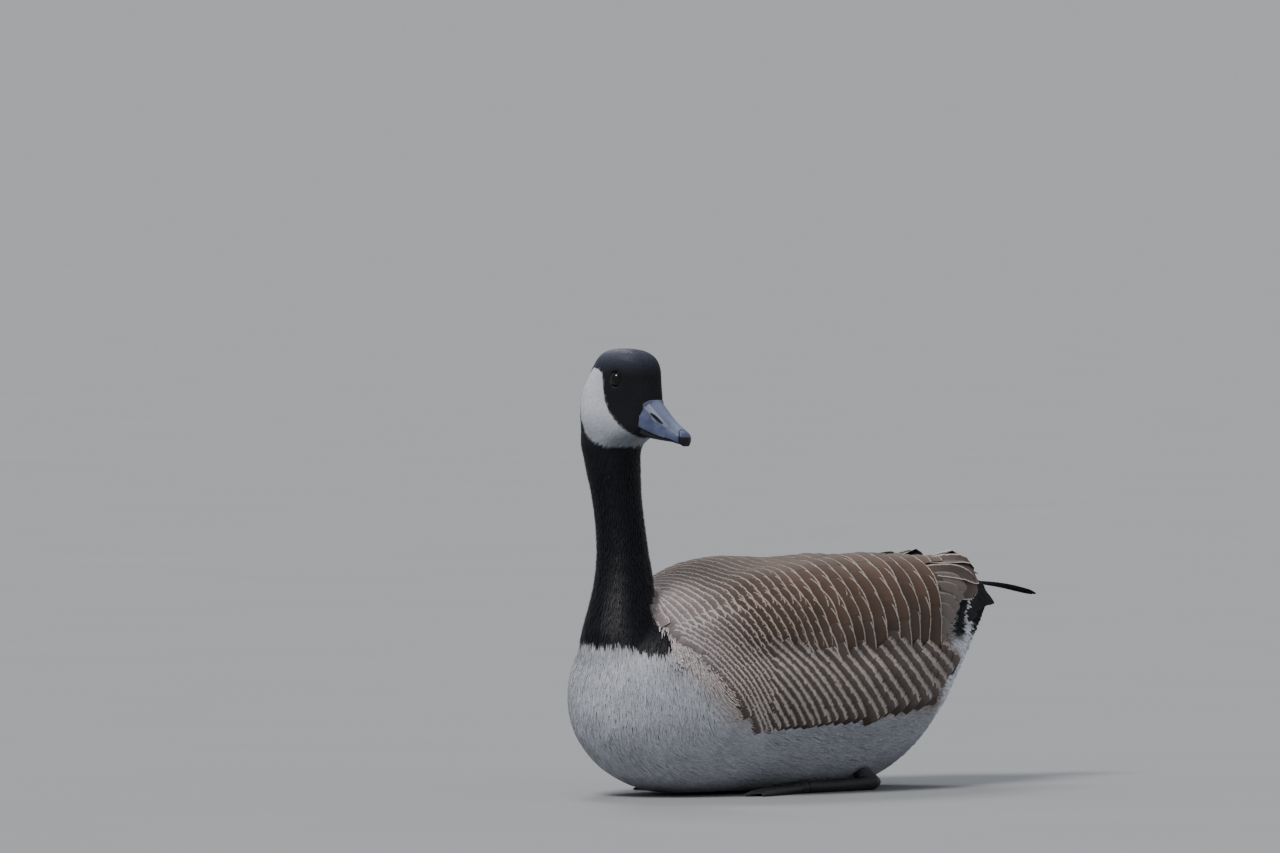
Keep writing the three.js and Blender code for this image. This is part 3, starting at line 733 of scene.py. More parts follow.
def into_object(
    made: bmesh.types.BMesh, name: str, material: bpy.types.Material | None = None, soft: bool = False
) -> bpy.types.Object:
    """Turns a mesh that has been modelled into an object.

    Args:
        made: The mesh, which is freed.
        name: The object's name.
        material: Its finish, if it keeps one.
        soft: Whether it is shaded smooth.

    Returns:
        The object.
    """
    for face in made.faces:
        face.smooth = soft
    mesh = bpy.data.meshes.new(name)
    made.to_mesh(mesh)
    made.free()
    if material:
        mesh.materials.append(material)
    return add_object(name, mesh)


def dress(piece: bpy.types.Object, slot: str, *replaced: str) -> bpy.types.Object:
    """Hands a finished piece to the frame.

    Args:
        piece: The piece, in place.
        slot: The record's material slot, which is not used.
        *replaced: The solids that it stands for.

    Returns:
        The piece.
    """
    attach(piece, BODY)
    if replaced:
        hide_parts(*replaced)
    log.info("%s: %d faces, for %s", piece.name, len(piece.data.polygons), replaced or "no solid")
    return piece


def apply_modifiers(piece: bpy.types.Object) -> None:
    """Bakes a piece's modifiers into its mesh.

    Args:
        piece: The piece.
    """
    bpy.context.view_layer.update()
    shaped = bpy.data.meshes.new_from_object(piece.evaluated_get(bpy.context.evaluated_depsgraph_get()))
    piece.modifiers.clear()
    old = piece.data
    piece.data = shaped
    bpy.data.meshes.remove(old)


def relax(piece: bpy.types.Object, rounds: int) -> None:
    """Smooths a piece, and bakes its modifiers into its mesh.

    Args:
        piece: The piece.
        rounds: How often it is smoothed.
    """
    modifier = piece.modifiers.new("relax", "SMOOTH")
    modifier.factor = 0.5
    modifier.iterations = rounds
    apply_modifiers(piece)


def merged(sources: Iterable[bpy.types.Object]) -> bmesh.types.BMesh:
    """Gathers copies of solids in one mesh whose triangles are joined.

    Args:
        sources: The solids.

    Returns:
        The mesh.
    """
    gathered = bmesh.new()
    for source in sources:
        gathered.from_mesh(source.data)
    bmesh.ops.remove_doubles(gathered, verts=gathered.verts, dist=WELD * MM)
    return gathered


def faces_of(solids: Iterable[bpy.types.Object]) -> BVHTree:
    """Gathers the faces of solids, to be met by rays.

    Args:
        solids: The solids.

    Returns:
        Their faces, in millimetres.
    """
    points, faces = [], []
    for solid in solids:
        start = len(points)
        points += [v.co / MM for v in solid.data.vertices]
        faces += [[start + i for i in p.vertices] for p in solid.data.polygons]
    return BVHTree.FromPolygons(points, faces)


def remeshed(name: str, sources: Iterable[bpy.types.Object], voxel: float, rounds: int) -> bpy.types.Object:
    """Joins copies of solids into one smooth closed mesh.

    Args:
        name: The new piece's name.
        sources: The solids.
        voxel: How fine the new mesh is, in millimetres.
        rounds: How often it is smoothed.

    Returns:
        The new piece.
    """
    piece = into_object(merged(sources), name)
    remesh = piece.modifiers.new("even", "REMESH")
    remesh.mode = "VOXEL"
    remesh.voxel_size = voxel * MM
    remesh.use_smooth_shade = True
    relax(piece, rounds)
    return piece


def shield(head: bpy.types.Object) -> bpy.types.Object:
    """Cuts out of the head the bare base of the bill.

    Args:
        head: The head's solid, which stays whole.

    Returns:
        The base as a closed piece.
    """
    made = merged([head])
    for place, out in SHIELD_SIDES:
        parts = made.verts[:] + made.edges[:] + made.faces[:]
        at = Vector(place) * MM
        cut = bmesh.ops.bisect_plane(made, geom=parts, plane_co=at, plane_no=out, clear_outer=True)
        rim = [part for part in cut["geom_cut"] if isinstance(part, bmesh.types.BMEdge)]
        bmesh.ops.holes_fill(made, edges=rim)
    middle = BILL_BASE[1] * MM
    for vert in made.verts:
        vert.co.y = middle + (vert.co.y - middle) * SHIELD_NARROW
        vert.co.x += SHIELD_AHEAD * MM
    return into_object(made, "shield")


class Markings:
    """The bird's colours by place, which the skin and every feather share, with painted sheen on the crown
    and partly painted shade under the chin.
    """

    BLACK = (0.0016, 0.0019, 0.0034)
    BLACK_EDGE = (0.006, 0.0068, 0.011)
    # Painted sheen: the crown's bluish tone stands for the highlight of wet black feathers on the top of the
    # head.
    CROWN = (0.013, 0.015, 0.027)
    CROWN_EDGE = (0.05, 0.056, 0.09)
    WHITE = (0.72, 0.74, 0.80)
    # Darker grey under the white cheeks: partly the wet feathers' own mottling, partly painted shade on the
    # underside.
    CHIN = (0.27, 0.285, 0.33)
    BREAST = (0.33, 0.345, 0.385)
    BREAST_EDGE = (0.50, 0.515, 0.56)
    SIDE = (0.27, 0.228, 0.228)
    SIDE_EDGE = (0.66, 0.605, 0.60)
    BROWN = (0.104, 0.065, 0.046)
    BROWN_EDGE = (0.65, 0.56, 0.51)
    TERTIAL = (0.115, 0.086, 0.074)
    DARK_TERTIAL = (0.022, 0.017, 0.016)
    PALE_BROWN = (0.21, 0.178, 0.163)
    PANEL_EDGE = (0.36, 0.32, 0.29)
    FLANK = (0.15, 0.119, 0.105)
    FLANK_EDGE = (0.68, 0.61, 0.57)
    CHEEK = (
        (-56, 25), (-47, 23), (-41, 19), (-39.5, 8), (-37.5, -4), (-32.5, -14), (-23, -24), (-15.5, -30),
        (-10.5, -34), (-11, -39), (-24, -44), (-36, -44), (-50, -39), (-64, -31), (-73, -21), (-76.5, -8),
        (-75, 5), (-66, 18),
    )
    COLLAR = (
        (0, 136), (45, 136), (60, 133), (75, 128), (86, 126), (94, 127), (99, 134), (102, 146), (105, 161),
        (112, 172), (143, 180), (180, 190),
    )
    NECK_REACH = (0, 100, 125, 180), (90, 78, 52, 48)

    # Soft borders, each from the value where a colour is absent to the one where it is whole.
    SIDES = (-72, -134)
    UNDERSIDE = (76, 60)
    BREAST_FRONT = (-22, -56)
    BREAST_TOP = (150, 124)
    REAR = (172, 188)
    RUMP_TOP = (126, 137)
    WHITE_BAND = 222.0
    WHITE_BAND_EDGE = (6, 11)
    # The heights over which the crown's painted sheen and the chin's partly painted shade set in.
    TOP_OF_HEAD = (366, 388)
    UNDER_CHIN = (346, 312)

    @classmethod
    def cheek(cls, points: Array) -> Array:
        """Finds the white patch that runs from cheek to cheek under the chin.

        Args:
            points: Places on the skin.

        Returns:
            Which of them are in it.
        """
        forward, up = points[:, 0] - BILL_BASE[0], points[:, 2] - BILL_BASE[2]
        inside = np.zeros(len(points), dtype=bool)
        corners = cls.CHEEK
        for (f0, u0), (f1, u1) in zip(corners, corners[1:] + corners[:1]):
            crossed = (u0 > up) != (u1 > up)
            reach = f0 + (up - u0) * (f1 - f0) / (u1 - u0 if u1 != u0 else 1)
            inside ^= crossed & (forward < reach)
        return inside

    @classmethod
    def black(cls, points: Array) -> Array:
        """Finds the black above the ragged line where the neck ends.

        Args:
            points: Places on the skin.

        Returns:
            Which of them are black.
        """
        x, y, z = points[:, 0], points[:, 1] - NECK_AXIS[1], points[:, 2]
        turn = np.degrees(np.abs(np.arctan2(x, -y)))
        above = z > np.interp(turn, *zip(*cls.COLLAR))
        on_neck = above & (np.hypot(x, y) < np.interp(turn, *cls.NECK_REACH))
        return on_neck | (z > NECK_CLEAR)

    @classmethod
    def tone(cls, points: Array) -> tuple[Array, Array]:
        """The colour and the edge colour of a feather at each point.

        Args:
            points: Places on the skin, in millimetres.

        Returns:
            The two colours, a row for each point.
        """
        _, y, z = points.T
        rear = smooth(y, *cls.REAR)
        band = smooth(np.abs(y - cls.WHITE_BAND), *cls.WHITE_BAND_EDGE)
        breast = smooth(y + BREAST_SLANT * z, *cls.BREAST_FRONT) * smooth(z, *cls.BREAST_TOP)
        # The white cheek patch greys downwards: partly wet mottling, partly painted shade.
        wet_shaded_chin = blend(np.array(cls.WHITE), np.array(cls.CHIN), smooth(z, *cls.UNDER_CHIN)[:, None])
        layers = (
            (smooth(y, *cls.SIDES), cls.SIDE, cls.SIDE_EDGE),
            (np.maximum(breast, smooth(z, *cls.UNDERSIDE)), cls.BREAST, cls.BREAST_EDGE),
            (rear, cls.WHITE, cls.WHITE),
            (rear * smooth(z, *cls.RUMP_TOP) * band, cls.BLACK, cls.BLACK_EDGE),
            (cls.black(points), cls.BLACK, cls.BLACK_EDGE),
            (smooth(z, *cls.TOP_OF_HEAD), cls.CROWN, cls.CROWN_EDGE),
            (cls.cheek(points), wet_shaded_chin, wet_shaded_chin),
        )
        tone, trim = np.array(cls.BROWN), np.array(cls.BROWN_EDGE)
        for share, colour, edge in layers:
            tone = blend(tone, np.array(colour), share[:, None])
            trim = blend(trim, np.array(edge), share[:, None])
        return tone, trim


def bare_shield(points: Array) -> Array:
    """Which points of the head are bare horn, where the bill's base runs up under the forehead."""
    within = [(points - np.array(place)) @ np.array(out) < 0 for place, out in SHIELD_SIDES]
    return np.all(within, axis=0)


class Lie:
    """Which way feathers point. Each pair of values is where a way sets in and where it is whole."""

    BODY = (0.0, 1.0, -0.3)
    HANGING = (0.0, 0.2, -1.0)
    DOWN = (0.0, 0.0, -1.0)
    HANG_FRONT = (-84, -136)
    HANG_HEIGHT = (36, 72)
    NECK_HEIGHT = (96, 150)
    NECK_NEAR = (74, 46)
    HEAD_HEIGHT = (292, 322)
    HEAD_BACK = (BILL_BASE[0] - 30, BILL_BASE[0] - 76)
    HEAD_TURN = 0.75

    @classmethod
    def at(cls, points: Array) -> Array:
        """Finds the feathers' way, before they are laid flat on the surface.

        Args:
            points: Their places on the skin.

        Returns:
            The way of each.
        """
        x, y, z = points.T
        down = np.array(cls.DOWN)
        back = smooth(x, *cls.HEAD_BACK)[:, None]
        from_bill = unit(points - np.array(FEATHERS_START))
        head_way = unit(from_bill * (1 - cls.HEAD_TURN * back) + down * back)
        hangs = (smooth(y, *cls.HANG_FRONT) * smooth(z, *cls.HANG_HEIGHT))[:, None]
        way = blend(np.array(cls.BODY), np.array(cls.HANGING), hangs)
        near = smooth(np.hypot(x, y - NECK_AXIS[1]), *cls.NECK_NEAR)
        way = blend(way, down, (smooth(z, *cls.NECK_HEIGHT) * near)[:, None])
        return unit(blend(way, head_way, smooth(z, *cls.HEAD_HEIGHT)[:, None]))


class FlatMap:
    """The map that the export bakes to: body, neck and head side by side, each unrolled.

    Body and neck have four numbers: where each starts on the map and how much of it each takes, and where
    each starts on the bird and how far it runs there. The head has its middle on the map and its share.
    """

    BODY = (0.02, 0.6, -200, 560)
    BODY_MIDDLE = 100.0
    NECK = (0.65, 0.17, 110, 200)
    NECK_FROM = 125.0
    NECK_NEAR = 60.0
    HEAD = (0.92, 0.13)
    HEAD_FROM = 312.0
    ROUND = (0.5, 0.48)

    @classmethod
    def at(cls, points: Array) -> Array:
        """Unrolls places on the skin.

        Args:
            points: The places.

        Returns:
            The spot of each on the map, from 0 to 1.
        """
        x, y, z = points.T
        ahead = y - NECK_AXIS[1]
        from_middle = unit(points - np.array(HEAD_MIDDLE))
        up = np.arcsin(np.clip(from_middle[:, 2], -1, 1)) / np.pi
        body = cls._spot(cls._along(y, *cls.BODY), x, z - cls.BODY_MIDDLE)
        neck = cls._spot(cls._along(z, *cls.NECK), x, -ahead)
        head = cls._spot(cls.HEAD[0] + cls.HEAD[1] * up, from_middle[:, 1], from_middle[:, 0])
        on_neck = (z > cls.NECK_FROM) & (np.hypot(x, ahead) < cls.NECK_NEAR)
        spot = np.where(on_neck[:, None], neck, body)
        return np.where((z > cls.HEAD_FROM)[:, None], head, spot)

    @staticmethod
    def _along(values: Array, start: float, share: float, first: float, reach: float) -> Array:
        """How far along the map the values are."""
        return start + share * (values - first) / reach

    @classmethod
    def _spot(cls, along: Array, aside: Array, ahead: Array) -> Array:
        """A spot that far along, turned round as the last two say."""
        middle, share = cls.ROUND
        return np.stack([along, middle + share * np.arctan2(aside, ahead) / np.pi], axis=-1)


@dataclass(frozen=True)
class VaneFinish:
    """A feather: barbs off a shaft, streaks lengthwise, a root that is darker by depth as painted shade under
    the feather before it, a paler edge.
    """

    name: str
    barbs: float
    rough: float
    gloss: float
    # How far the root is darkened: painted shade where the feather before lies over it.
    depth: float = 0.38
    streak: float = 0.12

    WAVER_SCALE = 420
    PATCH_SCALE = 38
    EDGE_WAVER = 1.6
    EDGE_STEP = (0.6, 1.1)
    STREAKS = (26, 2.4, 24)
    BARB_SLANT = 3.2
    BARB_COUNT = 72
    BARB_WAVER = 5
    BARB_SHADE = 0.07
    PATCH_SHADE = (0.8, 0.4)
    # Painted shade under the feather before: darkest at the root, rising to the unshaded level across this
    # span of the length.
    ROOT_SHADE = 1.06
    DARK_ROOT = (0.5, 0.97)
    SHAFT = (0.015, 0.06)
    RELIEF = (0.25, 0.8, 0.5)
    BUMP = (0.35, 0.6)

    def material(self) -> bpy.types.Material:
        """Makes the material.

        Returns:
            The material.
        """
        board = Board(self.name)
        u, v, _ = board.numbers(board.uv(VANE_MAP))
        aside = (u * 2 - 1).size()
        place = board.place()
        waver = board.noise(place, self.WAVER_SCALE, 3) - 0.5
        patch = board.noise(place, self.PATCH_SCALE, 2)
        from_side = (1 - aside) / board.attribute("trim", "Alpha") + waver * self.EDGE_WAVER
        from_tip = (1 - v) / board.attribute("tone", "Alpha") + waver * self.EDGE_WAVER
        edges = (1 - away.step(*self.EDGE_STEP) for away in (from_side, from_tip))
        colour = board.mix(board.maths("MAXIMUM", *edges), board.attribute("tone"), board.attribute("trim"))

        stretched = {i: part * times for i, (part, times) in enumerate(zip((u, v, patch), self.STREAKS))}
        lengthwise = board.node("ShaderNodeCombineXYZ", {}, stretched)
        streaks = (board.noise(lengthwise, 1.0, 2) - 0.5) * 2 * self.streak
        barb = ((v * self.BARB_SLANT - aside) * self.BARB_COUNT + waver * self.BARB_WAVER).sine()
        least, more = self.PATCH_SHADE
        shade = (least + patch * more) * (1 + streaks) * (1 + barb * self.BARB_SHADE * self.barbs)
        # Painted shade towards the root, under the feather before.
        shade = shade * ((self.ROOT_SHADE - self.depth) + v.step(*self.DARK_ROOT) * self.depth)

        shaft = 1 - aside.step(*self.SHAFT)
        height = sum(part * high for part, high in zip((barb, shaft, waver), self.RELIEF))
        depth, strength = self.BUMP
        return board.finish(
            {
                "Base Color": board.shade(colour, shade),
                "Roughness": self.rough,
                "Normal": board.bump(height, depth, strength * self.barbs),
                "Specular IOR Level": self.gloss,
            }
        )


class DownFinish:
    """The skin under the feathers, in their colours, fluffy all over."""

    SCALE = 900
    SHADE = (0.55, 0.5)
    ROUGH = 0.9
    DEPTH = 0.6

    def material(self) -> bpy.types.Material:
        """Makes the material.

        Returns:
            The material.
        """
        board = Board("skin_down")
        fluff = board.noise(board.place(), self.SCALE, 4)
        least, more = self.SHADE
        colour = board.shade(board.attribute("tone"), least + fluff * more)
        normal = board.bump(fluff, self.DEPTH)
        return board.finish({"Base Color": colour, "Roughness": self.ROUGH, "Normal": normal})


@dataclass(frozen=True)
class HornFinish:
    """The bill's horn with the slits of the nostrils, or the nail's black with a horn-grey rim. The default
    blue-grey is painted reflection of the sky on black horn, the paler band along the middle is painted
    highlight, and the nostrils' black is painted shade inside them.
    """

    name: str
    # The defaults are painted reflection: the sky's blue-grey on horn that is black, in two shades that
    # patches mix.
    darker: tuple = (0.034, 0.043, 0.090)
    paler: tuple = (0.090, 0.108, 0.205)
    nail: bool = False

    DARK = (0.006, 0.006, 0.009), (0.014, 0.015, 0.022)
    # Painted highlight: a paler band along the bill's middle, where the culmen catches the light.
    CULMEN = (0.20, 0.23, 0.345)
    CULMEN_WIDTH = (1.0, 9.0)
    CULMEN_SHARE = 0.6
    # The nail's own black, which is also painted shade inside the nostrils.
    BLACK = (0.004, 0.004, 0.005)
    # Heights where the nail's black gives way upwards to the rim's painted reflection.
    NAIL_TOP = (315.5, 317.1)
    NAIL_WAVER = 2.0
    # The nostril's slit, whose black is painted shade inside the opening.
    NOSTRIL = (69.0, 9.6, 331.8)
    NOSTRIL_WAY = (0.815, -0.115, -0.568)
    NOSTRIL_SIZE = (8.6, 1.4)
    NOSTRIL_EDGE = (0.7, 1.15)
    PATCH_SCALE = 60
    PATCHES = (0.3, 0.7)
    GRAIN = (1, 3, 3)
    GRAIN_SCALE = 700
    GRAIN_SHADE = (0.85, 0.3)
    ROUGH = (0.36, 0.12)
    NAIL_ROUGH = -0.1
    NOSTRIL_ROUGH = 0.5
    GLOSS = 0.4
    RELIEF = 0.1
    BUMP = (1.0, 0.5)

    def material(self) -> bpy.types.Material:
        """Makes the material.

        Returns:
            The material.
        """
        board = Board(self.name)
        place = board.place()
        patch = board.noise(place, self.PATCH_SCALE, 3)
        grain = board.noise(board.stretch(place, self.GRAIN), self.GRAIN_SCALE, 3)
        least, more = self.GRAIN_SHADE
        colour = board.mix(patch.step(*self.PATCHES), self.darker, self.paler)
        colour = board.shade(colour, least + grain * more)
        x, y, z = board.numbers(place)
        if self.nail:
            # The nail's own black below; above it, the rim takes the bill's painted reflection.
            low, high = (at * MM for at in self.NAIL_TOP)
            dark = 1 - (z + (patch - 0.5) * (self.NAIL_WAVER * MM)).step(low, high)
            rough, height = dark * self.NAIL_ROUGH, grain * self.RELIEF
        else:
            aside = (y - BILL_BASE[1] * MM).size()
            # Painted shade: the nostril's slit is black as the inside of the opening.
            dark = self._nostril(x, aside, z)
            # Painted highlight: paler along the culmen.
            middle = 1 - aside.step(*(at * MM for at in self.CULMEN_WIDTH))
            colour = board.mix(middle * self.CULMEN_SHARE, colour, self.CULMEN)
            rough, height = dark * self.NOSTRIL_ROUGH, grain * self.RELIEF - dark
        base, grained = self.ROUGH
        return board.finish(
            {
                "Base Color": board.mix(dark, colour, self.BLACK),
                "Roughness": base + grain * grained + rough,
                "Normal": board.bump(height, *self.BUMP),
                "Specular IOR Level": self.GLOSS,
            }
        )

    def _nostril(self, *place: Wire) -> Wire:
        """Draws the slit of a nostril, whose black is painted shade inside it.

        Args:
            *place: Where a point is along the bill, out of its middle, and up.

        Returns:
            How much of the slit is there.
        """
        away = [value - at * MM for value, at in zip(place, self.NOSTRIL)]
        along = sum(value * way for value, way in zip(away, self.NOSTRIL_WAY))
        round_about = sum(value * value for value in away) - along * along
        long, wide = (size * MM for size in self.NOSTRIL_SIZE)
        inside = along * along / long**2 + round_about / wide**2
        return 1 - inside.step(*self.NOSTRIL_EDGE)


class Grain(Enum):
    """The kinds of grain that a plain finish may have."""

    NOISE = "noise"
    CELLS = "cells"


@dataclass(frozen=True)
class GrainFinish:
    """A plain finish in two colours that a fine grain mixes, which is felt where it has a depth."""

    name: str
    darker: tuple
    paler: tuple
    rough: float
    scale: float
    depth: float = 0.0
    gloss: float = 0.5
    texture: Grain = Grain.NOISE

    def material(self) -> bpy.types.Material:
        """Makes the material.

        Returns:
            The material.
        """
        board = Board(self.name)
        place = board.place()
        if self.texture is Grain.NOISE:
            grain = board.noise(place, self.scale, 3)
        else:
            grain = board.node("ShaderNodeTexVoronoi", {}, {"Vector": place, "Scale": self.scale})
        values = {"Base Color": board.mix(grain, self.darker, self.paler), "Roughness": self.rough}
        values["Specular IOR Level"] = self.gloss
        if self.depth:
            values["Normal"] = board.bump(grain, self.depth)
        return board.finish(values)


@dataclass
class Skin:
    """The bird's flesh as one closed surface, a little inside the solids.

    Attributes:
        rings: Faces from the breast to the rump.
        segments: Faces round the body.
        front: Where the body's mesh starts.
        rear: Where it ends.
        pads_end: Where wings and flanks no longer fill it out.
        body_rounds: How often the body's mesh is smoothed.
        rounds: How often the joined skin is.
        voxel: How fine the joined skin is.
        body_depth: How far it lies inside the solids on the body.
        head_depth: And on the head.
        head_band: Between which heights the one depth turns into the other.
        back_band: Between which heights the shoulders' humps set in.
        floor_clear: How far it stays over the floor.
        shade: How much of the coat's colour it has.
    """

    rings: int = 90
    segments: int = 96
    front: float = -196.0
    rear: float = 266.0
    pads_end: float = 232.0
    body_rounds: int = 9
    rounds: int = 7
    voxel: float = 2.3
    body_depth: float = 2.6
    head_depth: float = 0.9
    head_band: Band = (290.0, 318.0)
    back_band: Band = (130.0, 185.0)
    floor_clear: float = 0.6
    shade: float = 0.8

    POLE = 0.99999

    def build(self, nodes: dict[str, bpy.types.Object]) -> bpy.types.Object:
        """Makes the skin.

        Args:
            nodes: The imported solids, by name.

        Returns:
            The skin, with its colours.
        """
        body = self._body([nodes[n] for n in BULK_NODES], nodes["torso"])
        flesh = [body] + [nodes[n] for n in ("neck_lower", "neck_upper", "head")]
        skin = remeshed("skin", flesh, self.voxel, self.rounds)
        bpy.data.objects.remove(body)
        self._sink(skin)
        self._colour(skin)
        skin.data.materials.append(DownFinish().material())
        return dress(skin, "belly_feather", "torso", "neck_lower", "neck_upper", "head")

    def _body(self, bulk: list[bpy.types.Object], torso: bpy.types.Object) -> bpy.types.Object:
        """Draws a round mesh onto the solids from outside, and smooths out the steps of their feathers.

        Args:
            bulk: The solids of body and wings.
            torso: The torso alone, which it follows at the rear.

        Returns:
            The mesh, as an object.
        """
        whole, bare = faces_of(bulk), faces_of([torso])
        made = bmesh.new()
        bmesh.ops.create_uvsphere(made, u_segments=self.segments, v_segments=self.rings, radius=1.0)
        for vert in made.verts:
            share = math.acos(max(-1.0, min(1.0, vert.co.z))) / math.pi
            turn = math.atan2(vert.co.y, vert.co.x)
            y = self.front + (self.rear - self.front) * (1 - math.cos(math.pi * share)) / 2
            middle = Vector((0, y, float(np.interp(y, *AXIS_HEIGHT))))
            way = Vector((math.sin(turn), 0, math.cos(turn)))
            tree = whole if y < self.pads_end else bare
            hit = tree.ray_cast(middle + way * OUTSIDE, -way)[0] if abs(vert.co.z) < self.POLE else None
            vert.co = (middle if hit is None else hit) * MM
        body = into_object(made, "body_form")
        relax(body, self.body_rounds)
        return body

    def _sink(self, skin: bpy.types.Object) -> None:
        """Moves the skin inwards by the depth of the coat, and raises the shoulders.

        Args:
            skin: The skin.
        """
        surface = Surface(skin)
        on_head = smooth(surface.points[:, 2], *self.head_band)[:, None]
        depth = blend(np.full((len(on_head), 1), self.body_depth), self.head_depth, on_head)
        moved = surface.points - surface.normals * depth
        on_back = smooth(moved[:, 2], *self.back_band)
        for (x, y), (wide, long), rise in SHOULDERS:
            spread = ((moved[:, 0] - x) / wide) ** 2 + ((moved[:, 1] - y) / long) ** 2
            moved[:, 2] += rise * on_back * np.exp(-spread / 2)
        moved[:, 2] = np.maximum(moved[:, 2], self.floor_clear)
        skin.data.vertices.foreach_set("co", (moved * MM).ravel())
        skin.data.update()

    def _colour(self, skin: bpy.types.Object) -> None:
        """Gives each point of the skin the coat's colour there.

        Args:
            skin: The skin.
        """
        tone, _ = Markings.tone(Surface(skin).points)
        colour = np.ones((len(tone), 4))
        colour[:, :3] = tone * self.shade
        layer = skin.data.attributes.new("tone", "FLOAT_COLOR", "POINT")
        layer.data.foreach_set("color", colour.ravel())


@dataclass
class Roots:
    """Where feathers of rows stand, each with the skin's normal, its way and its angle from the top."""

    points: Array
    normals: Array
    heading: Array
    turn: Array

    def kept(self, chosen: Array) -> "Roots":
        """The chosen roots alone."""
        return Roots(*(value[chosen] for value in vars(self).values()))


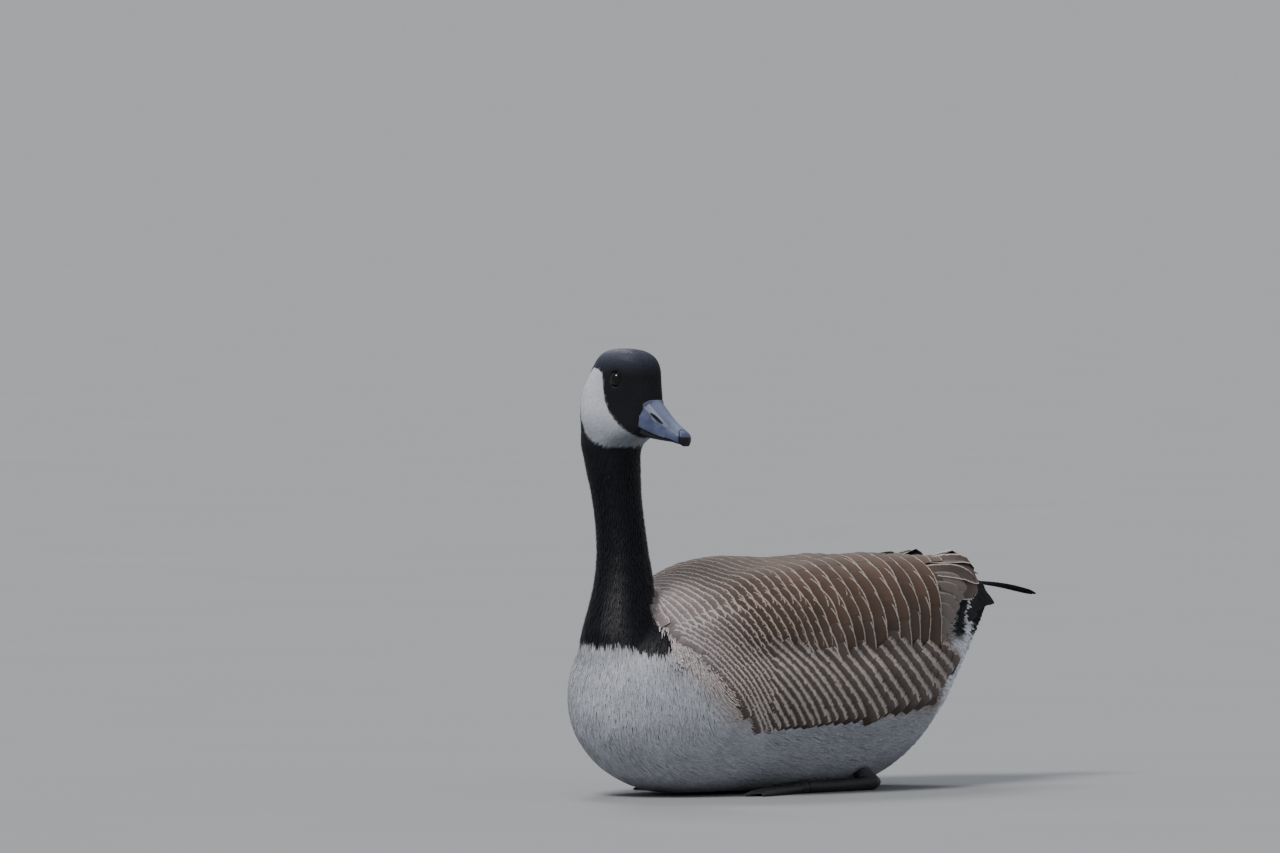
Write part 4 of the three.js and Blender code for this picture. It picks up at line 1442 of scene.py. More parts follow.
@dataclass
class Coat:
    """Lays feathers over the skin."""

    surface: Surface

    LENGTH_VARIES = 0.14
    WIDTH_VARIES = 0.12
    LIFT = 0.5

    def lay(self, sheets: Sheets, tract: Tract, shape: Shape, patch: float = TUFT_PATCH) -> None:
        """Bends each feather of a tract over the surface and adds it to a piece.

        Args:
            sheets: The piece.
            tract: The feathers.
            shape: How they are cut and how they lie.
            patch: The size of each feather's patch on the export's map.
        """
        if not len(tract):
            return
        place, normal = tract.roots, tract.normals
        way = along_surface(tract.heading, normal)
        stops = shape.stops()
        spine = [(place, normal, way)]
        for step in np.diff(stops):
            place, normal = self.surface.nearest(place + way * (tract.length * step)[:, None])
            way = along_surface(way, normal)
            spine.append((place, normal, way))
        grid = self._grid(spine, stops, tract, shape)
        colours = edged(tract.tone, tract.trim, tract.length, tract.width, (tract.edge, tract.side_edge))
        sheets.add(grid, *colours, self._patches(tract, patch))
        if shape.fray:
            self._fray(sheets, grid, tract, shape)

    def _fray(self, sheets: Sheets, grid: Array, tract: Tract, shape: Shape) -> None:
        """Adds the loose barbs along the tips of feathers that have been laid.

        Args:
            sheets: The piece.
            grid: The feathers' points.
            tract: The feathers.
            shape: How they are cut.
        """
        owner = Fray.owners(tract)
        draw = np.random.default_rng(len(owner))
        length = shape.fray * tract.length[owner] / Fray.USUAL_LENGTH
        barbs = Fray.grids(grid, owner, length, draw)
        tone = Fray.tones(tract.trim[owner], draw)
        sheets.add(barbs, tone, tone, self._patches(tract.part(owner), TUFT_PATCH), Fray.FIRST)

    @staticmethod
    def _patches(tract: Tract, patch: float) -> Array:
        """Each feather's patch on the export's map, at its root's place on the skin."""
        corner = FlatMap.at(tract.roots)
        return np.concatenate([corner, np.full_like(corner, patch)], axis=1)

    def _grid(
        self, spine: list[tuple[Array, Array, Array]], stops: Array, tract: Tract, shape: Shape
    ) -> Array:
        """Spreads each feather about its spine.

        Args:
            spine: For each row, the middle points, the skin's normals and the ways.
            stops: Where the rows are.
            tract: The feathers.
            shape: How they are cut and how they lie.

        Returns:
            Their points, by feather, row and column.
        """
        across = np.linspace(-1, 1, shape.columns + 1)
        lift = np.broadcast_to(tract.lift, len(tract))[:, None]
        drop = (shape.camber * across**2 + shape.tilt * across) * tract.width[:, None]
        lines = []
        for (place, normal, way), v in zip(spine, stops):
            side = np.cross(way, normal)
            half = (tract.width / 2 * shape.outline(v))[:, None] * across
            height = -shape.sunk + (shape.sunk + shape.risen) * v + shape.arch * 4 * v * (1 - v)
            rise = height + lift * v - drop * min(1.0, 3 * v) * shape.outline(v) ** 2
            back = -shape.drawn_back(v) * tract.length[:, None]
            flat = place[:, None] + side[:, None] * half[..., None] + way[:, None] * back[..., None]
            up = np.broadcast_to(normal[:, None], flat.shape)
            if shape.hugs:
                found = self.surface.nearest(flat.reshape(-1, 3))
                flat, up = (values.reshape(flat.shape) for values in found)
            lines.append(flat + up * rise[..., None])
        return np.stack(lines, axis=1)

    def tufts(
        self, points: Array, length: Array | float, width: Array | float, seed: int, turn: float = 0.12,
        vary: float = 0.16,
    ) -> Tract:
        """Makes a tract of tufts that follow the lie of the coat.

        Args:
            points: Their roots.
            length: Their lengths.
            width: Their widths.
            seed: What the random draws start from.
            turn: How far they stray from the lie.
            vary: How much their colours vary.

        Returns:
            The tract.
        """
        draw = np.random.default_rng(seed)
        roots, normals = self.surface.nearest(points)
        many = len(roots)
        length, width = (np.broadcast_to(size, many) for size in (length, width))
        heading = unit(Lie.at(roots) + turn * draw.normal(size=roots.shape))
        tone, trim = Markings.tone(roots + heading * (TUFT_SHOWN_AT * length)[:, None])
        light = 1 + vary * draw.normal(size=(many, 1))
        length = length * (1 + self.LENGTH_VARIES * draw.normal(size=many))
        width = width * (1 + self.WIDTH_VARIES * draw.normal(size=many))
        tone, trim = (np.clip(colour * light, 0, 1) for colour in (tone, trim))
        lift = np.abs(draw.normal(size=many)) * self.LIFT
        return Tract(roots, normals, heading, length, width, tone, trim, lift=lift)

    def row(self, y: Callable[[Array], Array], turns: Band, gap: float, shift: float) -> Roots:
        """Finds roots along one row round the body.

        Args:
            y: Where the row runs, for each angle from the top in degrees.
            turns: The angles that it runs between, the lower one first.
            gap: The distance between roots.
            shift: The first root's place, in gaps.

        Returns:
            The roots, each with its way square to the row.
        """
        turn = np.linspace(*turns, ROW_STOPS)
        points, normals, hit = self.surface.round_at(y(turn), turn)
        turn = turn[hit]
        run = np.concatenate([[0], np.cumsum(np.linalg.norm(np.diff(points, axis=0), axis=1))])
        stops = np.arange(shift * gap, run[-1], gap)
        heading = np.cross(normals, np.gradient(points, axis=0))
        columns = np.concatenate([points, normals, unit(heading), turn[:, None]], axis=1)
        found = np.stack([np.interp(stops, run, column) for column in columns.T], axis=1)
        return Roots(found[:, :3], unit(found[:, 3:6]), unit(found[:, 6:9]), found[:, 9])


@dataclass(frozen=True)
class Growth:
    """How the tufts of one part of the body grow.

    Spacing is the least distance between roots, whose draws start from the seed, and the tufts' own from the
    next number. Turn is how far they stray from the lie of the coat, and vary how much their colours do.
    """

    spacing: float
    length: float
    width: float
    seed: int
    turn: float
    vary: float


@dataclass
class ShortPlumage:
    """The small feathers of head, neck, breast, belly and rump.

    Attributes:
        coat: What lays them.
        bare: The bill's faces, which feathers keep clear of.
        eyes: The middles of the eyes.
        eye_clear: How far they keep from an eye's middle.
        bill_clear: And from the bill.
        low: Where the belly's feathers take over from the breast's.
        breast_top: How high the breast's feathers go.
        floor_clear: How low the belly's feathers go.
    """

    coat: Coat
    bare: BVHTree
    eyes: tuple[Vector, ...]
    eye_clear: float = 7.6
    bill_clear: float = 0.9
    low: float = 8.0
    breast_top: float = 145.0
    floor_clear: float = 0.4

    HEAD = Shape(rows=2, columns=1, sunk=0.5, risen=0.14, arch=0.12, camber=0.0, tip=0.12)
    NECK = Shape(rows=3, columns=1, sunk=0.8, risen=0.7, arch=0.3, camber=0.0, tip=0.06)
    BREAST = Shape(rows=3, columns=1, sunk=0.8, risen=0.45, arch=0.25, camber=0.0, tip=0.25)
    BELLY = Shape(rows=3, columns=1, sunk=1.0, risen=0.9, arch=0.4, camber=0.0, tip=0.2)

    FINE_TO_COARSE = (8, 44)
    HEAD_SPACING = (0.44, 0.6)
    HEAD_WIDTH = (0.55, 0.72)
    HEAD_LENGTH = (2.0, 4.0)
    HEAD_FOOT = (330, 306)
    HEAD_FOOT_LENGTH = 8.0
    HEAD_LIFT = (0.15, 1.0)
    HEAD_SEED = 3
    HEAD_STRAY = 0.05
    NECK_SEED = 5
    NECK_STRAY = 0.08
    NECK_SPACING = 1.05
    NECK_LENGTH = (8.5, 13.0)
    NECK_WIDTH = (0.85, 1.05)
    NECK_LOWERS = (240, 130)
    RAGGED_SHARE = (0.85, 0.4)

    ON_BREAST = Growth(1.3, 15.0, 1.25, seed=7, turn=0.05, vary=0.1)
    ON_BELLY = Growth(1.7, 15.0, 1.7, seed=9, turn=0.07, vary=0.1)
    IN_RING = Growth(1.25, 12.0, 1.6, seed=11, turn=0.07, vary=0.16)
    ON_RUMP = Growth(2.1, 17.0, 2.3, seed=13, turn=0.12, vary=0.16)
    BREAST_LIFT = (0.4, 2.2)
    BREAST_LIFTS = (BREAST_TUFTS_TO - 34, BREAST_TUFTS_TO - 8)
    BELLY_LIFT = 0.6
    RING_FROM = BREAST_TUFTS_TO - 32
    RING_RISE = 0.6
    RING_EDGE = 1.5
    RING_LIFT = 2.0

    def head(self, material: bpy.types.Material) -> bpy.types.Object:
        """Grows the head's fine feathers, smallest about the eyes and the bill.

        Args:
            material: Their finish.

        Returns:
            The piece.
        """
        points = self.coat.surface.scatter(
            lambda p: p[:, 2] > HEAD_START, lambda p: blend(*self.HEAD_SPACING, self._coarse(p)),
            self.HEAD_SEED,
        )
        clear = np.min(self._from_eyes(points), axis=0) > self.eye_clear
        clear &= np.array([self.bare.find_nearest(p)[3] > self.bill_clear for p in points.tolist()])
        points = points[clear & ~bare_shield(points)]
        coarse = self._coarse(points)
        foot = smooth(points[:, 2], *self.HEAD_FOOT)
        length = blend(blend(*self.HEAD_LENGTH, coarse), self.HEAD_FOOT_LENGTH, foot)
        width = blend(*self.HEAD_WIDTH, coarse)
        stray = self.HEAD_STRAY
        tract = self.coat.tufts(points, length, width, self.HEAD_SEED + 1, turn=stray, vary=stray)
        tract.lift *= blend(*self.HEAD_LIFT, foot)
        return self._piece("head_plumage", tract, self.HEAD, material)

    def neck(self, material: bpy.types.Material) -> bpy.types.Object:
        """Grows the neck's long fine feathers, down to the ragged edge over the breast.

        Args:
            material: Their finish.

        Returns:
            The piece.
        """
        points = self.coat.surface.scatter(
            self._on_neck, lambda p: np.full(len(p), self.NECK_SPACING), self.NECK_SEED
        )
        low = smooth(points[:, 2], *self.NECK_LOWERS)
        length, width = blend(*self.NECK_LENGTH, low), blend(*self.NECK_WIDTH, low)
        tract = self.coat.tufts(points, length, width, self.NECK_SEED + 1, turn=self.NECK_STRAY)
        return self._piece("neck_plumage", tract, self.NECK, material)

    def breast(self, material: bpy.types.Material) -> bpy.types.Object:
        """Grows the pale breast and the greyer feathers at its sides.

        Args:
            material: Their finish.

        Returns:
            The piece.
        """
        tract = self._grown(self.ON_BREAST, self._on_breast)
        least, more = self.BREAST_LIFT
        tract.lift = least * tract.lift + more * smooth(self._slanted(tract.roots), *self.BREAST_LIFTS)
        ring = self._grown(self.IN_RING, self._in_ring)
        ring.edge = self.RING_EDGE
        ring.lift += self.RING_LIFT
        sheets = Sheets("breast_plumage")
        for part in (tract, ring):
            self.coat.lay(sheets, part, self.BREAST)
        return sheets.piece(material)

    def belly(self, material: bpy.types.Material) -> bpy.types.Object:
        """Grows the belly's white feathers.

        Args:
            material: Their finish.

        Returns:
            The piece.
        """
        tract = self._grown(self.ON_BELLY, self._on_belly)
        tract.lift *= self.BELLY_LIFT
        return self._piece("belly_plumage", tract, self.BELLY, material)

    def rump(self, material: bpy.types.Material) -> bpy.types.Object:
        """The black rump, the white band before the tail and the fluffy white under it."""
        tract = self._grown(self.ON_RUMP, self._on_rump)
        return self._piece("rump_plumage", tract, self.BELLY, material)

    def _grown(self, growth: Growth, inside: Callable[[Array], Array]) -> Tract:
        """Grows tufts all over the part that inside tells."""
        points = self.coat.surface.scatter(inside, lambda p: np.full(len(p), growth.spacing), growth.seed)
        return self.coat.tufts(
            points, growth.length, growth.width, growth.seed + 1, turn=growth.turn, vary=growth.vary
        )

    def _piece(
        self, name: str, tract: Tract, shape: Shape, material: bpy.types.Material
    ) -> bpy.types.Object:
        """Lays a tract as a piece of its own.

        Args:
            name: The piece's name.
            tract: Its feathers.
            shape: How they lie.
            material: Their finish.

        Returns:
            The piece.
        """
        sheets = Sheets(name)
        self.coat.lay(sheets, tract, shape)
        return sheets.piece(material)

    def _from_eyes(self, points: Array) -> list[Array]:
        """How far the points are from each eye's middle."""
        return [np.linalg.norm(points - np.array(eye), axis=1) for eye in self.eyes]

    def _coarse(self, points: Array) -> Array:
        """How coarse the head's feathers are, from 0 at the eyes and the bill to 1 away from them."""
        from_bill = np.linalg.norm(points - np.array(FEATHERS_START), axis=1)
        return smooth(np.min([*self._from_eyes(points), from_bill], axis=0), *self.FINE_TO_COARSE)

    @staticmethod
    def _slanted(points: Array) -> Array:
        """How far back the points are, along the breast's slanting edge."""
        return points[:, 1] + BREAST_SLANT * points[:, 2]

    def _on_neck(self, points: Array) -> Array:
        """Finds where black neck feathers grow, whose tips stay within the black.

        Args:
            points: Places on the skin.

        Returns:
            Which of them bear such feathers.
        """
        least, more = self.RAGGED_SHARE
        ragged = (least + more * np.sin(points @ np.array(RAGGED)))[:, None]
        tips = points + OVERHANG * ragged * Lie.at(points)
        below_head = (points[:, 2] <= HEAD_START) & (points[:, 1] < 0)
        return below_head & Markings.black(points) & Markings.black(tips)

    def _on_breast(self, points: Array) -> Array:
        """Finds where breast feathers grow, some of them from under the black's edge.

        Args:
            points: Places on the skin.

        Returns:
            Which of them bear such feathers.
        """
        _, y, z = points.T
        shown = ~Markings.black(points + BREAST_EMERGES * Lie.at(points))
        ahead = (self._slanted(points) < BREAST_TUFTS_TO) & (y < BREAST_REACH)
        return ahead & shown & (z < self.breast_top) & (z > self.low)

    def _in_ring(self, points: Array) -> Array:
        """Finds the soft pale ring between the neck's foot and the shoulders' rows.

        Args:
            points: Places on the skin.

        Returns:
            Which of them are in it.
        """
        x, y, z = points.T
        inwards = unit(np.stack([-x, NECK_AXIS[1] - y, self.RING_RISE * np.abs(x)], axis=-1))
        near, *far = (Markings.black(points + reach * inwards) for reach in SOFT_RING)
        beside = near | (np.any(far, axis=0) & (z < SOFT_RING_TOP))
        return beside & (self._slanted(points) > self.RING_FROM) & ~Markings.black(points)

    def _on_belly(self, points: Array) -> Array:
        """Finds where the belly's feathers grow.

        Args:
            points: Places on the skin.

        Returns:
            Which of them bear such feathers.
        """
        _, y, z = points.T
        under = np.where(y < BREAST_REACH, z <= self.low, z < SIDE_LOW)
        return under & (z > self.floor_clear)

    @staticmethod
    def _on_rump(points: Array) -> Array:
        """Finds where the feathers behind the back's brown grow.

        Args:
            points: Places on the skin.

        Returns:
            Which of them bear such feathers.
        """
        x, y, z = points.T
        turn = np.degrees(np.arctan2(np.abs(x), z - np.interp(y, *AXIS_HEIGHT)))
        return (y > np.interp(turn, *RUMP_START)) & (z >= SIDE_LOW)


@dataclass
class VaneRows:
    """Broad feathers in rows that run round the body, each row over the next one behind it.

    Attributes:
        coat: What lays them.
        along: The places along the body that the next three tables are for.
        step: How far apart the rows are.
        width: How wide the feathers are.
        slant: How far a row runs back with each degree that it goes down.
        slant_from: The angle from the top where the slant sets in.
        start: Where the first row is at that angle.
        end: Where the last row may be.
    """

    coat: Coat
    along: tuple = (-158, -110, -67, -30, 32, 100, 200)
    step: tuple = (5.0, 6.0, 8.5, 12.0, 16, 17, 18)
    width: tuple = (10, 12, 18, 30, 46, 56, 60)
    slant: tuple = (1.1, 1.0, 0.9, 0.6, 0.25, 0.1, 0.0)
    slant_from: float = 50.0
    start: float = -196.0
    end: float = 184.0

    GAP = 0.52
    LENGTH = (2.1, 7)
    LENGTH_VARIES = 0.015
    TONE_VARIES = 0.09
    WIDTH_VARIES = 0.05

    def tract(
        self, turns: Band, draw: np.random.Generator, kept: Callable[[Roots, Array], Array]
    ) -> tuple[Tract, Array]:
        """Finds the feathers of all rows.

        Args:
            turns: The angles that rows run between.
            draw: The random draws.
            kept: Tells which roots stay, by root and by feather length.

        Returns:
            The feathers, and each one's angle from the top.
        """
        found, sizes, y = [], [], self.start
        while y < self.end:
            tables = (self.step, self.width, self.slant)
            step, width, slant = (float(np.interp(y, self.along, table)) for table in tables)
            line = self.coat.row(self._course(y, slant), turns, width * self.GAP, draw.random())
            found.append(line)
            sizes.append(np.tile([step, width], (len(line.turn), 1)))
            y += step
        lines = zip(*(vars(line).values() for line in found))
        roots = Roots(*(np.concatenate(values) for values in lines))
        step, width = np.concatenate(sizes).T
        times, more = self.LENGTH
        length = (step * times + more) * (1 + self.LENGTH_VARIES * draw.normal(size=len(step)))
        chosen = kept(roots, length)
        roots, length = roots.kept(chosen), length[chosen]
        shown = roots.points + roots.heading * (SHOWN_AT * length)[:, None]
        shown[:, 1] = np.minimum(shown[:, 1], BROWN_TO)
        tone, trim = Markings.tone(shown)
        light = 1 + self.TONE_VARIES * draw.normal(size=(len(length), 1))
        width = width[chosen] * (1 + self.WIDTH_VARIES * draw.normal(size=len(length)))
        tone = np.clip(tone * light, 0, 1)
        return Tract(roots.points, roots.normals, roots.heading, length, width, tone, trim), roots.turn

    def _course(self, y: float, slant: float) -> Callable[[Array], Array]:
        """Where the row that starts at y runs, for each angle from the top."""
        return lambda turn: y + slant * np.maximum(np.abs(turn) - self.slant_from, 0)

    @staticmethod
    def like_flank(tract: Tract, share: Array) -> None:
        """Gives that share of the flank's colours to each feather."""
        tract.tone = blend(tract.tone, np.array(Markings.FLANK), share[:, None])
        tract.trim = blend(tract.trim, np.array(Markings.FLANK_EDGE), share[:, None])


@dataclass
class BodyVanes(VaneRows):
    """The brown, pale-edged feathers of back and wings.

    Attributes:
        reach: The angle from the top that rows run to, past the wing only at the breast's side.
        wing_reach: The angle that they run to on the wing.
        mantle_reach: The angle where the wing begins.
    """

    reach: float = 134.0
    wing_reach: float = 88.0
    mantle_reach: float = 9.0

    VANE = Shape(
        rows=7, columns=10, sunk=1.6, risen=3.2, arch=0.6, camber=0.004, tilt=0.012, root=0.7, shoulder=0.5,
        square=2.0, tip=0.9, crowd=1.2, corner=0.085, hugs=True, fray=0.9,
    )
    SEED = 21
    FLANK_TURN = (72, 98)
    FLANK_FRONT = (-128, -76)
    EDGE = (0.9, 2.6)
    SIDE_EDGE = 0.02
    FRONT_EDGE = 0.5
    FRONT = (-60, -120)

    def build(self) -> dict[str, Sheets]:
        """Lays the rows and parts them into wings and mantle.

        Returns:
            The feathers of each, by name.
        """
        draw = np.random.default_rng(self.SEED)
        tract, turn = self.tract((-self.reach, self.reach), draw, self._on_back)
        y, aside = tract.roots[:, 1], np.abs(turn)
        own = smooth(aside, *self.FLANK_TURN) * smooth(y, *self.FLANK_FRONT)
        self.like_flank(tract, own)
        tract.edge = blend(*self.EDGE, own) + self.FRONT_EDGE * smooth(y, *self.FRONT)
        tract.side_edge = self.SIDE_EDGE
        on_wing = (aside > self.mantle_reach) & (y > WING_START)
        parts = {"wing_left": on_wing & (turn > 0), "wing_right": on_wing & (turn < 0), "mantle": ~on_wing}
        made = {}
        for name, chosen in parts.items():
            made[name] = Sheets(name + "_vanes")
            self.coat.lay(made[name], tract.part(chosen), self.VANE, VANE_PATCH)
        return made

    def _on_back(self, roots: Roots, length: Array) -> Array:
        """Finds the rows' roots that are behind the neck and the breast.

        Args:
            roots: The roots.
            length: How long their feathers are.

        Returns:
            Which of them stay.
        """
        _, y, z = roots.points.T
        turn = np.abs(roots.turn)
        shown = roots.points + roots.heading * (SHOWN_AT * length)[:, None]
        free = ~Markings.black(roots.points + UNDER_NECK) & ~Markings.black(shown)
        free &= (y < BACK_FROM) | (turn < BACK_TURN)
        free &= (turn < self.wing_reach) | ((y < FLANK_FROM) & (z > FlankVanes.LOWEST))
        return free & (y + BREAST_SLANT * z > ROWS_FROM)


@dataclass
class FlankVanes(VaneRows):
    """The long feathers of one side, in slanting ridges whose upper ends lie over the wing's lower edge.

    Attributes:
        side: Which flank.
        reach: The angles from the top that rows run between.
    """

    side: Side = Side.LEFT
    reach: Band = (58.0, 134.0)
    along: tuple = (-170, -120, -60, 0, 100, 200)
    step: tuple = (6.0, 7.5, 10.5, 15.5, 17, 16)
    width: tuple = (10, 12, 18, 26, 30, 28)
    slant: tuple = (1.3, 1.5, 1.6, 1.6, 1.5, 1.3)
    slant_from: float = 64.0
    start: float = -176.0
    end: float = 168.0

    SEED = 31
    BORDER = ((-160, -92, -1, 40, 95, 157, 190), (126, 146, 127, 134, 137, 124, 112))
    LOWEST = 54.0
    RISE = 0.85
    AHEAD = 0.4
    VANE = Shape(
        rows=8, columns=8, sunk=5.0, risen=4.8, arch=0.8, camber=0.0, tilt=0.006, root=0.8, shoulder=0.5,
        square=2.4, tip=0.95, crowd=1.3, corner=0.03, hugs=True, fray=3.0,
    )
    FRONT = (-130, -60)
    EDGE = 3.2
    SIDE_EDGE = 0.02
    LIFT = -2.6

    def build(self, material: bpy.types.Material) -> bpy.types.Object:
        """Lays the rows.

        Args:
            material: Their finish.

        Returns:
            The piece.
        """
        draw = np.random.default_rng(self.SEED + self.side.value)
        turns = tuple(sorted(self.side.value * turn for turn in self.reach))
        tract, _ = self.tract(turns, draw, self._on_flank)
        y = tract.roots[:, 1]
        self.like_flank(tract, smooth(y, *self.FRONT))
        tract.edge, tract.side_edge = self.EDGE, self.SIDE_EDGE
        tract.lift = self.LIFT * smooth(y, *reversed(self.FRONT))
        sheets = Sheets(f"flank_{self.side.tag}_vanes")
        self.coat.lay(sheets, tract, self.VANE, VANE_PATCH)
        return sheets.piece(material)

    def _on_flank(self, roots: Roots, length: Array) -> Array:
        """Finds the rows' roots that are far enough under the flank's upper border.

        Args:
            roots: The roots.
            length: How long their feathers are.

        Returns:
            Which of them stay.
        """
        _, y, z = roots.points.T
        low = z < np.interp(y, *self.BORDER) - self.RISE * length
        return low & (z > self.LOWEST) & (y > FLANK_FROM - self.AHEAD * length)


@dataclass
class LongVanes:
    """Feathers that run on past the body, drawn about a spine of their own."""

    surface: Surface

    def add(
        self, sheets: Sheets, spines: Array, ups: Array, width: float, shape: Shape, colours: Sequence[tuple]
    ) -> None:
        """Adds long feathers.

        Args:
            sheets: The piece.
            spines: Points along each feather, by feather and row.
            ups: The way each feather's upper face looks there.
            width: Their width.
            shape: How they are cut.
            colours: Their colour and their edge colour.
        """
        many = len(spines)
        way = unit(np.gradient(spines, axis=1))
        length = np.sum(np.linalg.norm(np.diff(spines, axis=1), axis=2), axis=1)
        side = unit(np.cross(way, ups))
        up = np.cross(side, way)
        across = np.linspace(-1, 1, shape.columns + 1)
        half = width / 2 * shape.outline(shape.stops())[None, :, None]
        drop = shape.camber * across**2 + shape.tilt * across
        back = length[:, None, None] * shape.drawn_back(shape.stops())
        grid = spines[:, :, None] + side[:, :, None] * (half * across)[..., None]
        grid = grid - up[:, :, None] * (half * drop)[..., None] - way[:, :, None] * back[..., None]
        tone, trim = (np.tile(colour, (many, 1)) for colour in colours)
        edges = edged(tone, trim, length, np.full(many, width), (LONG_EDGE, LONG_EDGE))
        sheets.add(grid, *edges, self._patches(many))

    @staticmethod
    def _patches(many: int) -> Array:
        """Shares out the export's map in rows and columns.

        Args:
            many: How many feathers there are.

        Returns:
            A patch for each.
        """
        columns = math.ceil(math.sqrt(many))
        spot = np.arange(many)
        corner = np.stack([spot % columns, spot // columns], axis=-1) * (1 / columns)
        return np.concatenate([corner, np.full_like(corner, PATCH_FILL / columns)], axis=1)


@dataclass
class Tail(LongVanes):
    """The tail's fan.

    Attributes:
        feathers: How many feathers.
        root: Where they start along the body.
        level: How high they start.
        length: How long the middle ones are.
        shorter: How much shorter the outer ones are.
        width: How wide they are.
        spread: The angle of the outer ones.
        hub: How far before the root their ways meet.
        step: How much higher the middle ones lie than the outer ones, and than the root's level.
        aside: How much higher the left half lies, so that the middle ones don't touch.
        bend: How far the tips bend down.
        roll: How much the outer ones slope.
    """

    feathers: int = 16
    root: float = 246.0
    level: float = 176.0
    length: float = 101.0
    shorter: float = 24.0
    width: float = 17.0
    spread: float = 9.5
    hub: float = 26.0
    step: Band = (1.6, 2.4)
    aside: float = 0.4
    bend: float = 14.0
    roll: float = 0.05

    VANE = Shape(
        rows=14, columns=6, camber=0.06, root=0.5, shoulder=0.7, square=2.4, tip=0.6, crowd=1.4, corner=0.1
    )

    def build(self, material: bpy.types.Material) -> bpy.types.Object:
        """Fans out the tail feathers.

        Args:
            material: Their finish.

        Returns:
            The piece.
        """
        out = (np.arange(self.feathers) + 0.5) / self.feathers * 2 - 1
        turn = np.radians(self.spread) * out
        reach = (self.length - self.shorter * out**2)[:, None] * self.VANE.stops()
        x = np.sin(turn)[:, None] * (self.hub + reach)
        y = self.root + np.cos(turn)[:, None] * reach
        lower, higher = self.step
        start = self.level + (higher - lower * np.abs(out) + self.aside * (out > 0))[:, None]
        z = start - self.bend * (reach / self.length) ** 3 - self.roll * reach * np.sin(turn)[:, None]
        ups = np.tile([0.0, 0.0, 1.0], (*x.shape, 1))
        sheets = Sheets("tail_vanes")
        colours = (Markings.BLACK, Markings.BLACK_EDGE)
        self.add(sheets, np.stack([x, y, z], axis=-1), ups, self.width, self.VANE, colours)
        return sheets.piece(material)


@dataclass(frozen=True)
class Fan:
    """A group of long wing feathers, each pair of numbers for the first one and for each step on.

    Attributes:
        many: How many feathers.
        start: Where each starts along the body.
        turn: Its angle from the top, in degrees.
        lean: How it leans down the side.
        length: Its length.
        high: Its height over the skin at the tip.
        width: How wide the feathers are.
        colours: Their colour and their edge colour.
        low: Its height where other feathers cover it.
    """

    many: int
    start: Band
    turn: Band
    lean: Band
    length: Band
    high: Band
    width: float
    colours: Sequence[tuple]
    low: Band = (-1.4, 0)

    def each(self) -> list[Array]:
        """Works out the numbers of every feather.

        Returns:
            Their start, turn, lean, length, low and high.
        """
        steps = np.arange(self.many)
        pairs = (self.start, self.turn, self.lean, self.length, self.low, self.high)
        return [first + more * steps for first, more in pairs]


@dataclass
class WingTips(LongVanes):
    """One wing's long feathers: tertials over secondaries over primaries.

    Attributes:
        side: Which wing.
        flies_free: Where the feathers leave the body and run straight on.
    """

    side: Side = Side.LEFT
    flies_free: Band = (232, 262)

    VANE = Shape(
        rows=14, columns=8, camber=0.1, root=0.55, shoulder=0.66, square=2.0, tip=0.3, crowd=1.4, corner=0.08
    )
    FANS = (
        Fan(
            4, start=(172, -3), turn=(40, 7), lean=(-7, -0.6), length=(112, -8), high=(5.5, -1.0), width=20,
            colours=(Markings.BLACK, Markings.BLACK_EDGE), low=(-1.2, 0),
        ),
        Fan(
            7, start=(122, -6), turn=(46, 6.4), lean=(-1, 0.4), length=(84, -1), high=(3.4, -0.15), width=25,
            colours=(Markings.PALE_BROWN, Markings.PANEL_EDGE),
        ),
        Fan(
            3, start=(108, -4), turn=(20, 10), lean=(-0.8, -0.8), length=(143, -5), high=(7.4, -1.1),
            width=34, colours=(Markings.TERTIAL, Markings.BROWN_EDGE),
        ),
        Fan(
            1, start=(112, 0), turn=(10, 0), lean=(0, 0), length=(148, 0), high=(8.5, 0), width=34,
            colours=(Markings.DARK_TERTIAL, Markings.PANEL_EDGE),
        ),
    )

    def build(self, sheets: Sheets) -> None:
        """Adds this wing's long feathers.

        Args:
            sheets: The wing's piece.
        """
        for fan in self.FANS:
            spines, ups = self._spread(*fan.each())
            self.add(sheets, spines, ups, fan.width, self.VANE, fan.colours)

    def _spread(
        self, starts: Array, turns: Array, leans: Array, lengths: Array, low: Array, high: Array
    ) -> tuple[Array, Array]:
        """Runs spines back over the wing, each on its own lean, and straight on where the body ends.

        Args:
            starts: Where each starts along the body.
            turns: Its angle from the top, in degrees.
            leans: How it leans down the side, in degrees of its way.
            lengths: Its length.
            low: Its height over the skin at the root.
            high: And at the tip.

        Returns:
            The spines, and the way their upper faces look.
        """
        place, normal, _ = self.surface.round_at(starts, turns * self.side.value)
        lean = np.radians(leans)[:, None]
        down = np.cross(normal, [0, 1, 0]) * self.side.value
        way = unit(np.array([0, 1, 0]) * np.cos(lean) + down * np.sin(lean))
        stops = self.VANE.stops()
        spine, ups = [place], [normal]
        for step in np.diff(stops):
            flown = place + way * (lengths * step)[:, None]
            near, near_normal = self.surface.nearest(flown)
            free = smooth(flown[:, 1], *self.flies_free)[:, None]
            place = blend(near, flown, free)
            normal = unit(blend(near_normal, normal, free))
            way = along_surface(way, normal)
            spine.append(place)
            ups.append(normal)
        height = low[:, None] + (high - low)[:, None] * smooth(stops, EMERGES_AT, 1)
        spines, ups = np.stack(spine, axis=1), np.stack(ups, axis=1)
        return spines + ups * height[..., None], ups


